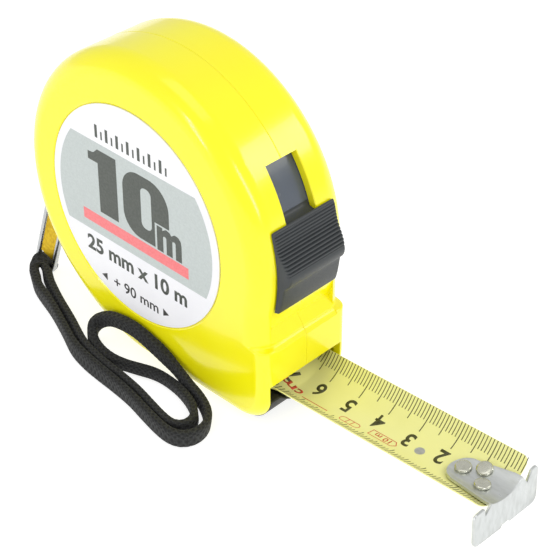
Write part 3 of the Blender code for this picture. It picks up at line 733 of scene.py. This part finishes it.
def pocket_tool():
    """The seat under the thumb button."""
    top = polar(POCKET_R, 0.8)[1]
    profile = [polar(POCKET_R, 0.8 - 22.3 * i / 16) for i in range(17)]
    profile += [(CASE_R + 0.05, 23.4), (CASE_R + 6.0, 23.4), (CASE_R + 6.0, top)]
    rings = [[(x, y, z) for x, z in profile] for y in (-POCKET_HALF, POCKET_HALF)]
    return skin("button_pocket", rings)


def mouth_tool():
    """The blade's way out, wider and higher by a broken edge at the front face."""
    rings = []
    for x, grow in ((MOUTH_BACK, 0.0), (44.7, 0.0), (45.05, 0.35), (47.0, 2.3)):
        half, top = MOUTH_HALF + grow, MOUTH_TOP + grow
        rings.append([(x, -half, -3.0), (x, half, -3.0), (x, half, top), (x, -half, top)])
    return skin("mouth", rings)


def make_case(name, side, node):
    """A half shell with its screw bosses, openings and, on the near side, the bail's slot."""
    half = half_shell(name, side)
    near = side < 0
    joins = []
    for degrees in BOSS_ANGLES:
        x, z = polar(BOSS_R, degrees)
        low, high = sorted((side * (HALF_T - WALL * 0.5), side * 0.4))
        joins.append(disc("boss", x, z, 2.6, low, high, 32))
    if near:
        joins.append(disc("bail_lug", BAIL_PIN[0], BAIL_PIN[1], 2.6, -11.4, -3.4, 32))
    cut(half, joins, "UNION")
    tools = [label_tool(side), mouth_tool(), slot_tool(), pocket_tool()]
    for degrees in BOSS_ANGLES:
        x, z = polar(BOSS_R, degrees)
        if near:
            tools.append(disc("hole", x, z, 1.25, -12.4, 1.0, 24))
        else:
            tools.append(disc("hole", x, z, 1.45, -1.0, 18.0, 24))
            tools.append(disc("sink", x, z, 2.75, 14.3, 18.0, 40))
    if near:
        low, high = BAIL_Y - 1.7, BAIL_Y + 1.7
        section = [(36.0, low), (44.7, low), (45.3, low - 0.4), (47.0, low - 2.0), (47.0, high + 2.0),
                   (45.3, high + 0.4), (44.7, high), (36.0, high)]
        tools.append(arc_sweep("bail_slot", section, 186.5, 210.5, 14))
        tools.append(disc("bail_bore", BAIL_PIN[0], BAIL_PIN[1], BAIL_PIN_R + 0.05, -11.0, -3.8, 32))
    cut(half, tools)
    merge(half, 2e-6)
    smooth(half, 30.0)
    return finish_piece(half, YELLOW, "case", node)


make_case("case_near_shell", -1.0, "case_near")
make_case("case_far_shell", 1.0, "case_far")


# ---------------------------------------------------------------- flat print

def outline(name, loops):
    """A filled flat shape from closed loops of (u, v) points, holes by the even-odd rule."""
    data = bpy.data.curves.new(name, "CURVE")
    data.dimensions = "2D"
    data.fill_mode = "BOTH"
    for loop in loops:
        spline = data.splines.new("POLY")
        spline.points.add(len(loop) - 1)
        for point, (u, v) in zip(spline.points, loop):
            point.co = (u * MM, v * MM, 0.0, 1.0)
        spline.use_cyclic_u = True
    obj = bpy.data.objects.new(name, data)
    bpy.context.scene.collection.objects.link(obj)
    return flat_mesh(obj)


def flat_mesh(obj):
    """Makes text or a flat curve a mesh."""
    only(obj)
    bpy.ops.object.convert(target="MESH")
    obj = bpy.context.object
    merge(obj, 1e-7)
    return obj


def words(name, text, size, u, v, narrow=1.0, bold=0.0, turn=0.0):
    """Figures or a unit set flat, centred on (u, v); size is the height of a figure."""
    bpy.ops.object.select_all(action="DESELECT")
    bpy.ops.object.text_add()
    obj = bpy.context.object
    obj.name = name
    obj.data.body = text
    obj.data.size = 1.0
    obj.data.align_x = "CENTER"
    obj.data.align_y = "CENTER"
    obj.data.offset = bold
    obj.data.resolution_u = 5
    obj = flat_mesh(obj)
    co = np.array([vert.co for vert in obj.data.vertices], float)
    low, high = co.min(0), co.max(0)
    scale = size / (high[1] - low[1])
    mid = (low + high) / 2.0
    c, s = math.cos(turn), math.sin(turn)
    for vert in obj.data.vertices:
        a, b = (vert.co.x - mid[0]) * scale * narrow, (vert.co.y - mid[1]) * scale
        vert.co = ((u + a * c - b * s) * MM, (v + a * s + b * c) * MM, 0.0)
    return obj


def round_corners(points, radii, steps=8):
    """A closed outline with each corner rounded by its radius."""
    out = []
    count = len(points)
    for i, radius in enumerate(radii):
        p = Vector(points[i])
        a = (Vector(points[i - 1]) - p).normalized()
        b = (Vector(points[(i + 1) % count]) - p).normalized()
        if radius <= 0.0:
            out.append(points[i])
            continue
        half = 0.5 * a.angle(b)
        reach = radius / math.tan(half)
        centre = p + (a + b).normalized() * (radius / math.sin(half))
        start, end = p + a * reach - centre, p + b * reach - centre
        span = start.angle_signed(end)
        for k in range(steps + 1):
            turn = -span * k / steps
            c, s = math.cos(turn), math.sin(turn)
            out.append((centre.x + start.x * c - start.y * s, centre.y + start.x * s + start.y * c))
    return out


def join(name, pieces):
    bpy.ops.object.select_all(action="DESELECT")
    for piece in pieces:
        piece.select_set(True)
    bpy.context.view_layer.objects.active = pieces[0]
    bpy.ops.object.join()
    obj = bpy.context.object
    obj.name = obj.data.name = name
    return obj


def solid_film(obj, thick):
    """Gives flat print its film thickness and closes it."""
    mod = obj.modifiers.new("film", "SOLIDIFY")
    mod.thickness = thick * MM
    mod.offset = 1.0
    return apply_all(obj)


def facing_up(obj):
    """Turns every face of flat print to look up."""
    edit(obj)
    bm = bmesh.from_edit_mesh(obj.data)
    bm.normal_update()
    for face in bm.faces:
        if face.normal.z < 0.0:
            face.normal_flip()
    bmesh.update_edit_mesh(obj.data)
    leave()


def onto_label(obj, layer, material, name):
    """Carries flat print onto the near label and gives it thickness."""
    facing_up(obj)
    c, s = math.cos(LABEL_TURN), math.sin(LABEL_TURN)
    level = HALF_T - 0.02 + 0.012 * layer
    for vert in obj.data.vertices:
        u, v = vert.co.x / MM, vert.co.y / MM
        vert.co = place(LABEL_X + u * c - v * s, -level, PRINT_Z + u * s + v * c)
    solid_film(obj, FILM_T)
    obj.name = obj.data.name = name
    return finish_piece(obj, material, "case")


def band_loop():
    """The silver band: level top and bottom, ends on the label's own curve."""
    radius, top, low = 28.9, 17.3, -11.5
    loop = []
    for start, end in (((radius, low), (radius, top)), ((-radius, top), (-radius, low))):
        a0 = math.asin(start[1] / radius)
        a1 = math.asin(end[1] / radius)
        for k in range(25):
            angle = a0 + (a1 - a0) * k / 24
            loop.append((math.copysign(radius * math.cos(angle), start[0]), radius * math.sin(angle)))
    return loop


def ruler_marks():
    """A plain row of ruler marks, set where a maker would put a name."""
    loops = []
    for i in range(14):
        u = -13.0 + 2.0 * i
        tall, half = (3.8, 0.5) if i % 2 == 0 else (2.4, 0.3)
        loops.append([(u - half, 18.9), (u + half, 18.9), (u + half, 18.9 + tall), (u - half, 18.9 + tall)])
    return loops


def make_label_print():
    """The band, the bar, the length in figures and the dimension notes."""
    onto_label(outline("band", [band_loop()]), 0, SILVER_INK, "label_band")
    bar = [(-20.1, -8.8), (20.2, -8.8), (20.2, -5.4), (-20.1, -5.4)]
    onto_label(outline("bar", [bar]), 1, RED_INK, "label_bar")
    one = round_corners([(-16.8, 11.1), (-16.8, 13.5), (-14.6, 13.7), (-13.0, 15.3), (-5.9, 15.3), (-5.9, -3.9),
                         (-13.1, -3.9), (-13.1, 11.1)], [0, 0, 1.4, 0, 0, 0, 0, 0])
    zero = round_corners([(-3.7, -4.7), (8.1, -4.7), (8.1, 3.0), (13.5, 3.0), (13.5, 14.8), (-3.7, 14.8)],
                         [6.4, 0, 0, 0, 7.2, 6.0], 12)
    hole = round_corners([(3.1, -0.8), (7.0, -0.8), (7.0, 11.5), (3.1, 11.5)], [1.7, 1.7, 1.7, 1.7])
    metre = [(8.8, -5.0), (8.8, 2.5), (10.9, 2.5), (10.9, 1.7), (12.3, 2.6), (13.6, 2.3), (14.2, 1.6), (15.4, 2.5),
             (16.8, 2.4), (17.7, 1.4), (17.9, 0.0), (17.9, -5.0), (15.7, -5.0), (15.7, 0.2), (14.5, 0.2), (14.5, -5.0),
             (12.3, -5.0), (12.3, 0.2), (11.1, 0.2), (11.1, -5.0)]
    metre = round_corners(metre, [0, 0, 0, 0, 0.8, 0.6, 0, 0.8, 0.8, 0.8, 0, 0, 0, 0.5, 0.5, 0, 0, 0.5, 0.5, 0], 4)
    onto_label(outline("figures", [one, zero, hole, metre]), 1, DARK_INK, "label_figures")
    small = [words("size_note", "+ 90 mm", 3.4, -0.6, -24.6, 1.05, 0.014)]
    small.append(outline("arrow_left", [[(-14.2, -24.6), (-12.0, -25.8), (-12.0, -23.4)]]))
    small.append(outline("arrow_right", [[(12.2, -24.6), (10.0, -23.4), (10.0, -25.8)]]))
    onto_label(join("size_line", small), 0, SMALL_INK, "label_size_note")
    wide = words("width_note", "25 mm x 10 m", 4.9, 0.0, -15.9, 1.02, 0.03)
    onto_label(wide, 0, DARK_INK, "label_width_note")
    onto_label(outline("marks", ruler_marks()), 0, DARK_INK, "label_marks")


def make_label(name, side, node):
    """A thin disc with a soft rim, in its seat."""
    inner, outer = HALF_T - 0.42, HALF_T - 0.02
    profile = ((0.0, inner), (0.0, outer - 0.1), (0.04, outer - 0.03), (0.12, outer))
    obj = skin(name, [circle_ring(LABEL_R - inset, side * y) for inset, y in profile])
    smooth(obj, 40.0)
    return finish_piece(obj, WHITE_LABEL, "case", node)


make_label("label_near_disc", -1.0, "label_near")
make_label("label_far_disc", 1.0, "label_far")
make_label_print()


# ---------------------------------------------------------------- lock button and strip

def button_outline():
    """(radius, degrees) round the button: arc underside, then foot, overhanging nose and ribbed top."""
    under = [(45.3, -12.0 + 29.3 * i / 24) for i in range(25)]
    top = [(45.6, 17.45), (45.85, 17.15)]
    for i in range(RIBS):
        start = 16.6 - 13.7 * i / RIBS
        end = 16.6 - 13.7 * (i + 1) / RIBS
        ridge = 45.95 + 0.3 * i / RIBS + 2.35 * eased(i / RIBS, 0.3, 0.97)
        for t, drop in RIB_SHAPE:
            top.append((ridge + 0.1 * t - drop, start + (end - start) * t))
    nose = [(48.62, 2.7), (48.75, 2.2), (48.74, 1.4), (48.6, 0.6), (48.36, -0.2), (47.98, -0.9), (47.5, -1.5),
            (47.1, -2.1), (46.86, -2.9), (46.72, -4.0), (46.62, -6.0), (46.5, -8.5), (46.3, -11.2), (46.1, -12.05)]
    return under + top + nose


def make_button():
    """The button in slices from side to side, narrower outwards, with rounded edges and corners."""
    profile = button_outline()
    edge = BUTTON_EDGE
    rings = []
    stops = [0.0, 0.06, 0.18, 0.36, 0.6, edge]
    places = [(-1.0, s) for s in stops] + [(1.0, s) for s in reversed(stops)]
    for side, inset in places:
        drop = edge - math.sqrt(max(0.0, edge ** 2 - (edge - inset) ** 2))
        ring = []
        for radius, degrees in profile:
            half = BUTTON_HALF - 0.24 * (radius - 45.3)
            high = radius - drop * share(radius, 45.35, 46.8)
            bend = degrees
            if degrees < -11.0 and radius > 45.35:
                bend = degrees + 0.6 * drop
            if degrees > 13.0:
                bend = degrees - 1.7 * share(degrees, 13.0, 17.0) * (drop / edge) ** 2
            x, z = polar(high, bend)
            ring.append((x, side * (half - inset), z))
        rings.append(ring)
    button = skin("thumb_button_cap", rings)
    stem = arc_sweep("stem", [(42.8, -4.9), (45.9, -4.9), (45.9, 4.9), (42.8, 4.9)], 0.4, 11.5, 6)
    cut(button, [stem], "UNION")
    smooth(button, 34.0, False)
    return finish_piece(button, BUTTON_PLASTIC, "lock", "thumb_button")


def make_strip():
    """The cover that slides in the slot, its tail, and the saddle that rises from it to the button."""
    half_section = [(41.7, 6.5), (42.3, 6.5), (42.45, 6.3), (42.5, 5.6)]
    section = [(radius, -y) for radius, y in half_section] + half_section[::-1]
    strip = arc_sweep("lock_strip_cover", section, -8.0, 41.0, 60)
    tail = arc_sweep("tail", [(41.72, -3.6), (42.48, -3.6), (42.48, 3.6), (41.72, 3.6)], -23.0, -6.0, 20)
    cut(strip, [tail], "UNION")
    smooth(strip, 30.0)
    # The strip's bluish grey colour is a painted reflection of the pale room.
    finish_piece(strip, STRIP_WITH_PAINTED_REFLECTION, "lock", "lock_strip")
    neck = []
    for i in range(13):
        degrees = 16.2 + 3.6 * i / 12
        high = 42.55 + 3.5 * (1.0 - math.sin(0.5 * math.pi * i / 12)) ** 1.6
        shoulder = high - 0.25 * (high - 42.5) / 3.5
        half = 4.95
        ring = []
        for radius, y in ((42.5, -half), (shoulder, -half), (high, -half + 0.4), (high, half - 0.4), (shoulder, half),
                          (42.5, half)):
            x, z = polar(radius, degrees)
            ring.append((x, y, z))
        neck.append(ring)
    saddle = skin("strip_saddle", neck)
    smooth(saddle, 40.0)
    finish_piece(saddle, BUTTON_PLASTIC, "lock")


make_button()
make_strip()


# ---------------------------------------------------------------- mouth insert

def insert_top(y):
    """The insert's top follows the underside of the cupped blade."""
    low = ZERO_Z - (ZERO_X - 40.0) * math.tan(BLADE_SLOPE)
    radius = BLADE_ARC_R + 0.9
    reach = min(abs(y), 11.2)
    return min(8.5, low - 0.9 + radius - math.sqrt(radius ** 2 - reach ** 2))


def make_insert():
    """The black insert under the blade, rounded like the nose of the case."""
    centre = CASE_R - NOSE_R
    start = math.degrees(math.acos((MOUTH_BACK + 1.5 - centre) / NOSE_R))
    rings = []
    half = MOUTH_HALF - 0.12
    for i in range(49):
        y = -half + 2.0 * half * i / 48
        top = insert_top(y)
        ring = [(MOUTH_BACK + 0.3, y, 0.1)]
        for k in range(15):
            angle = math.radians(-start * (1.0 - k / 14.0))
            x, z = centre + (NOSE_R - 0.1) * math.cos(angle), NOSE_R + (NOSE_R - 0.1) * math.sin(angle)
            ring.append((x, y, min(z, top - 0.4)))
        ring += [(CASE_R - 0.12, y, top - 0.25), (CASE_R - 0.4, y, top), (MOUTH_BACK + 0.3, y, top)]
        rings.append(ring)
    insert = skin("mouth_insert", rings)
    smooth(insert, 35.0)
    return finish_piece(insert, BLACK_NYLON, "case", "mouth_bumper")


make_insert()


# ---------------------------------------------------------------- blade

def blade_spot(along, across, lift):
    """Distance from zero, flat distance from the middle and height, as a point on the cupped blade."""
    opening = share(-along, -BLADE_CUP_END, -BLADE_TAIL)
    curve = max(1e-4, (1.0 - 0.97 * opening) / BLADE_ARC_R)
    angle = across * curve
    y = math.sin(angle) * (1.0 / curve - lift)
    up = 1.0 / curve - math.cos(angle) * (1.0 / curve - lift) + TAIL_RISE * opening
    c, s = math.cos(BLADE_SLOPE), math.sin(BLADE_SLOPE)
    return (ZERO_X + along * c - up * s, y, ZERO_Z + along * s + up * c)


def make_blade():
    """The cupped strip, with clipped corners at the hook and a flat tail inside the case."""
    stations = [BLADE_END, BLADE_END - 0.35, BLADE_END - 0.9, BLADE_END - 1.7]
    stations += [-3.0 - 62.0 * i / 31 for i in range(32)]
    stations += [BLADE_CUP_END + (BLADE_TAIL - BLADE_CUP_END) * i / 8 for i in range(1, 9)]
    rings = []
    for along in stations:
        corner = share(along, BLADE_END - 1.7, BLADE_END)
        half = BLADE_HALF - 1.7 * (1.0 - math.sqrt(max(0.0, 1.0 - corner ** 2)))
        cut_across = [half * (2.0 * i / 48 - 1.0) for i in range(49)]
        top = [blade_spot(along, a, 0.5 * BLADE_T) for a in cut_across]
        low = [blade_spot(along, a, -0.5 * BLADE_T) for a in reversed(cut_across)]
        rings.append(top + low)
    blade = skin("blade_strip", rings)
    smooth(blade, 40.0)
    return finish_piece(blade, BLADE_PAINT, "blade", "blade")


def row_of_marks(name, first, long, wide, edge_side, repeats):
    """One flat mark repeated along the blade by arrays."""
    bpy.ops.object.select_all(action="DESELECT")
    middle = edge_side * (BLADE_HALF - 0.06 - long / 2.0)
    bpy.ops.mesh.primitive_plane_add(size=1.0, location=(-first * MM, middle * MM, 0.0))
    obj = bpy.context.object
    obj.name = name
    obj.scale = (wide * MM, long * MM, 1.0)
    settle(obj)
    for count, gap in repeats:
        mod = obj.modifiers.new("repeat", "ARRAY")
        mod.use_relative_offset = False
        mod.use_constant_offset = True
        mod.constant_offset_displace = (-gap * MM, 0.0, 0.0)
        mod.count = count
    return apply_all(obj)


def onto_blade(obj, name, material):
    """Slices flat print across the cup, bends it onto the blade and gives it a film's thickness."""
    facing_up(obj)
    edit(obj, "SELECT")
    for k in range(-16, 17):
        bpy.ops.mesh.select_all(action="SELECT")
        bpy.ops.mesh.bisect(plane_co=(0.0, 0.76 * k * MM, 0.0), plane_no=(0.0, 1.0, 0.0))
    leave()
    for vert in obj.data.vertices:
        along, across = vert.co.x / MM, vert.co.y / MM
        vert.co = place(*blade_spot(along, across, 0.5 * BLADE_T + 0.012))
    solid_film(obj, FILM_T)
    obj.name = obj.data.name = name
    return finish_piece(obj, material, "blade")


def make_blade_print():
    """The millimetre scale on both edges, its figures, the plain red notes and the grey pip."""
    marks = []
    for edge_side, short, middle, tall in ((1.0, 4.2, 5.9, 7.5), (-1.0, 6.5, 7.0, 7.7)):
        marks.append(row_of_marks("millimetres", 1.0, short, 0.22, edge_side, ((4, 1.0), (14, 5.0))))
        marks.append(row_of_marks("fives", 5.0, middle, 0.24, edge_side, ((7, 10.0),)))
        marks.append(row_of_marks("tens", 10.0, tall, 0.26, edge_side, ((6, 10.0),)))
    onto_blade(join("marks", marks), "blade_marks", BLADE_INK)
    figures = []
    for number, along, across in ((2, -20.4, 1.5), (3, -30.4, 1.2), (4, -40.4, 1.6), (5, -50.4, 1.4), (6, -60.4, 1.3),
                                  (7, -68.5, -0.4)):
        bold = 0.008 if number == 4 else 0.022
        figures.append(words("figure", str(number), 4.8, along, across, 0.94, bold, math.pi))
    onto_blade(join("figures", figures), "blade_figures", BLADE_INK)
    red = []
    outer = [(-39.5, -4.1), (-32.0, -4.1), (-31.0, -2.7), (-32.0, -1.3), (-39.5, -1.3)]
    inner = [(-39.3, -3.9), (-32.1, -3.9), (-31.3, -2.7), (-32.1, -1.5), (-39.3, -1.5)]
    red.append(outline("length_box", [outer, inner]))
    red.append(words("length_note", "10 m", 1.8, -35.5, -2.7, 1.1, 0.012, math.pi))
    pill = round_corners([(-48.8, -4.9), (-42.4, -4.9), (-42.4, -2.5), (-48.8, -2.5)], [1.15] * 4, 6)
    inset = round_corners([(-48.6, -4.7), (-42.6, -4.7), (-42.6, -2.7), (-48.6, -2.7)], [0.95] * 4, 6)
    red.append(outline("pill", [pill, inset]))
    red.append(outline("pill_bars", [[(-46.5, -4.7), (-46.3, -4.7), (-46.3, -2.7), (-46.5, -2.7)],
                                     [(-44.9, -4.7), (-44.7, -4.7), (-44.7, -2.7), (-44.9, -2.7)]]))
    red.append(outline("rule", [[(-61.4, -4.5), (-52.7, -4.5), (-52.7, -4.2), (-61.4, -4.2)]]))
    red.append(words("unit_note", "cm", 2.2, -65.9, -2.9, 1.3, 0.02, math.pi))
    onto_blade(join("red", red), "blade_red_print", BLADE_RED)
    spot = [(-25.8 + 1.35 * math.cos(math.tau * i / 40), 1.35 * math.sin(math.tau * i / 40)) for i in range(40)]
    onto_blade(outline("pip", [spot]), "blade_pip", GREY_PIP)


make_blade()
make_blade_print()


# ---------------------------------------------------------------- hook and rivets

def tongue_half(along):
    """Half the tongue's width: a round end that widens towards the bend."""
    reach = along - TONGUE_BACK
    if reach < 5.2:
        return math.sqrt(max(0.02, 5.2 ** 2 - (5.2 - reach) ** 2))
    return 5.2 + 1.9 * share(reach, 5.2, 15.0)


def make_tongue():
    base = BLADE_T * 0.5 + HOOK_GAP
    stations = [0.0, 0.08, 0.25, 0.5, 0.9, 1.5, 2.2, 3.0, 4.0, 5.2, 7.0, 9.0, 11.0, 13.0, 15.0]
    stations = [TONGUE_BACK + reach for reach in stations] + [-0.6, 0.0, 0.5 * HOOK_T]
    rings = []
    for along in stations:
        half = tongue_half(along)
        round_off = 0.14
        section = []
        for a, lift in ((-half, 0.18), (-half + 0.04, 0.05), (-half + round_off, 0.0)):
            section.append((a, HOOK_T - lift))
        cross = [(-half + round_off) + 2.0 * (half - round_off) * i / 20 for i in range(1, 20)]
        section += [(a, HOOK_T) for a in cross]
        section += [(half - round_off, HOOK_T), (half - 0.04, HOOK_T - 0.05), (half, HOOK_T - 0.18)]
        section += [(half, 0.0)] + [(a, 0.0) for a in reversed(cross)] + [(-half, 0.0)]
        rings.append([blade_spot(along, TONGUE_Y + a, base + lift) for a, lift in section])
    return skin("hook_tongue", rings)


def plate_spot(along, y, height):
    """A point of the front plate, which stands square to the blade."""
    c, s = math.cos(BLADE_SLOPE), math.sin(BLADE_SLOPE)
    up = height - ZERO_Z
    return (ZERO_X + along * c - up * s, y, ZERO_Z + along * s + up * c)


def make_plate():
    """The front plate: notched foot, two wings, and a top edge that follows the tongue."""
    half = PLATE_HALF
    corner = [(-half, 1.2), (-1.7, 0.6), (-1.3, 1.35), (1.3, 1.35), (1.7, 0.6), (half, 0.3), (half, 11.9), (9.6, 11.4),
              (8.1, 8.6)]
    radii = [1.9, 0.4, 0.4, 0.4, 0.4, 1.9, 1.2, 0.3, 0.0]
    base = BLADE_T * 0.5 + HOOK_GAP + HOOK_T
    points = round_corners(corner + [(-8.1, 8.6), (-8.3, 11.1), (-half, 11.1)], radii + [0.0, 0.3, 1.3], 5)
    neck = []
    for i in range(25):
        angle = (7.0 - 14.0 * i / 24 + TONGUE_Y) / BLADE_ARC_R
        reach = BLADE_ARC_R - base
        neck.append((math.sin(angle) * reach, ZERO_Z + BLADE_ARC_R - math.cos(angle) * reach))
    start = points.index((8.1, 8.6)) + 1
    points = points[:start] + neck + points[start:]
    rings = []
    for along, grow in ((0.0, 0.1), (0.1, 0.0), (HOOK_T - 0.16, 0.0), (HOOK_T - 0.05, 0.05), (HOOK_T, 0.16)):
        turn = inward(points)
        rings.append([plate_spot(along, y + ny * grow, z + nz * grow) for (y, z), (ny, nz) in zip(points, turn)])
    return skin("hook_plate", rings)


def make_hook():
    hook = make_tongue()
    cut(hook, [make_plate()], "UNION")
    merge(hook, 2e-6)
    smooth(hook, 38.0, False)
    return finish_piece(hook, HOOK_STEEL, "hook", "end_hook")


def make_rivet(index, along, across):
    """A pressed rivet: straight shank, flat head with a rolled rim."""
    base = 0.5 * BLADE_T + HOOK_GAP + HOOK_T
    head = [(1.0, 0.5), (1.8, 0.1), (2.0, 0.12), (2.1, 0.25), (2.12, 0.5), (2.06, 0.7), (1.92, 0.84), (1.7, 0.9),
            (1.2, 0.92), (0.6, 0.93), (0.2, 0.93)]
    profile = [(1.0, 0.2)] + [(radius, base + height) for radius, height in head]
    foot = Vector(blade_spot(along, across, 0.0))
    up = (Vector(blade_spot(along, across, 2.0)) - foot).normalized()
    side = up.cross(Vector((0.0, 1.0, 0.0))).normalized()
    front = side.cross(up)
    rings = []
    for radius, height in profile:
        ring = []
        for i in range(40):
            angle = 2.0 * math.pi * i / 40
            ring.append(tuple(foot + (side * math.cos(angle) + front * math.sin(angle)) * radius + up * height))
        rings.append(ring)
    rivet = skin("rivet_head_%d" % index, rings)
    smooth(rivet, 50.0)
    # The rivet's faint yellow tint is a painted reflection of the blade and case.
    return finish_piece(rivet, RIVET_STEEL_PAINTED_REFLECTION, "blade", "hook_rivet_%d" % index)


make_hook()
for number, (along, across) in enumerate(RIVETS, 1):
    make_rivet(number, along, across)


# ---------------------------------------------------------------- bail

def make_bail():
    """A closed wire loop round its pin, filled with a flat web."""
    out = Vector((BAIL_UP.z, 0.0, -BAIL_UP.x))
    pin = Vector((BAIL_PIN[0], BAIL_Y, BAIL_PIN[1]))
    high = BAIL_PIN_R + BAIL_WIRE_R + 0.08
    corner = 1.9
    path = []
    for sx, sz, start in ((1, 1, 0), (-1, 1, 90), (-1, -1, 180), (1, -1, 270)):
        level = high - corner if sz > 0 else -BAIL_LONG + corner
        for i in range(9):
            angle = math.radians(start + 90.0 * i / 8)
            path.append(pin + out * (sx * (BAIL_HALF - corner) + corner * math.cos(angle))
                        + BAIL_UP * (level + corner * math.sin(angle)))
    rings = []
    count = len(path)
    for i in range(count + 1):
        point = path[i % count]
        tangent = (path[(i + 1) % count] - path[(i - 1) % count]).normalized()
        side = tangent.cross(Vector((0.0, 1.0, 0.0))).normalized()
        ring = []
        for j in range(20):
            angle = 2.0 * math.pi * j / 20
            ring.append(tuple(point + (side * math.cos(angle) + Vector((0, 1, 0)) * math.sin(angle)) * BAIL_WIRE_R))
        rings.append(ring)
    plate = []
    for y in (BAIL_Y - 0.3, BAIL_Y + 0.3):
        ring = []
        for across, along in ((-3.2, -4.0), (-3.2, -BAIL_LONG + 4.2), (3.2, -BAIL_LONG + 4.2), (3.2, -4.0)):
            spot = pin + out * across + BAIL_UP * along
            ring.append((spot.x, y, spot.z))
        plate.append(ring)
    web = skin("bail_web", plate)
    smooth(web, 30.0)
    # The web's gold colour is a painted reflection of the shaded yellow case.
    finish_piece(web, WEB_PAINTED_REFLECTION, "bail")
    bail = skin("bail_wire", rings, caps=False, closed=True)
    only(bail)
    bpy.ops.object.shade_smooth()
    return finish_piece(bail, WIRE_STEEL, "bail", "bail_loop")


make_bail()


# ---------------------------------------------------------------- inner parts

def inner_finishes():
    """Better finishes for the parts inside and at the back, which keep their shape."""
    drum = moulded("white_spool_plastic", "e9e9e4", "dcdcd6", 0.45, 0.8, 0.02)
    spring = metal("blued_spring_steel", "8b93a0", "6e7683", 0.3, 1.0, (1.0, 1.0, 8.0))
    lever = moulded("grey_lever_plastic", "4a4c50", "404246", 0.5, 0.6, 0.02)
    pad = moulded("brake_rubber", "1b1b1b", "151515", 0.8, 0.5, 0.05)
    looks = {
        "spool_drum": drum, "blade_coil": BLADE_PAINT, "return_spring": spring, "axle_post": YELLOW,
        "brake_lever": lever, "brake_pad": pad,
    }
    for node in ("lever_pin", "bail_pin", "case_screw_1", "case_screw_2", "case_screw_3", "case_screw_4"):
        looks[node] = SCREW_STEEL
    for node, material in looks.items():
        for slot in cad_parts[node].material_slots:
            slot.material = material


inner_finishes()


# ---------------------------------------------------------------- stage

def make_stage():
    """A pale floor that glows a little, as a lit sweep does, so the tape leaves almost no shadow."""
    bpy.ops.object.select_all(action="DESELECT")
    bpy.ops.mesh.primitive_plane_add(size=6.0, location=(0.0, 0.0, 0.0))
    floor = bpy.context.object
    floor.name = "floor"
    material, _, shader = finish_of("pale_floor")
    shader.inputs["Base Color"].default_value = linear("adadad")
    shader.inputs["Roughness"].default_value = 0.9
    shader.inputs["Specular IOR Level"].default_value = 0.1
    shader.inputs["Emission Color"].default_value = (1.0, 1.0, 1.0, 1.0)
    shader.inputs["Emission Strength"].default_value = 0.8
    floor.data.materials.append(material)


def soft_light(name, turn, rise, size, power, tilt=0.0):
    """A soft box 0.8 m from the tape, facing it; turn is measured from the labelled side."""
    turn, rise = math.radians(turn), math.radians(rise)
    middle = Vector((0.0, 0.0, 0.045))
    away = Vector((math.sin(turn) * math.cos(rise), -math.cos(turn) * math.cos(rise), math.sin(rise)))
    data = bpy.data.lights.new(name, "AREA")
    data.shape = "RECTANGLE"
    data.size, data.size_y = size
    data.energy = power
    lamp = bpy.data.objects.new(name, data)
    lamp.location = middle + away * 0.8
    lamp.rotation_mode = "QUATERNION"
    lamp.rotation_quaternion = (-away).to_track_quat("-Z", "Y") @ Quaternion((0.0, 0.0, 1.0), math.radians(tilt))
    bpy.context.scene.collection.objects.link(lamp)


def make_light():
    """A pale room and four soft boxes, each placed for one highlight on the case."""
    world = bpy.data.worlds.new("studio")
    world.use_nodes = True
    world.node_tree.nodes["Background"].inputs["Color"].default_value = (1.0, 1.0, 1.0, 1.0)
    world.node_tree.nodes["Background"].inputs["Strength"].default_value = 0.7
    bpy.context.scene.world = world
    soft_light("top_box", -10.0, 80.0, (0.5, 0.5), 0.8)
    soft_light("label_side_strip", -10.5, 16.0, (0.045, 0.32), 0.65)
    soft_light("front_strip", 70.0, 24.0, (0.1, 0.5), 1.1, 35.0)
    soft_light("back_box", 134.0, 31.0, (0.35, 0.25), 1.1)
    bpy.context.scene.view_settings.view_transform = "Standard"


make_stage()
make_light()
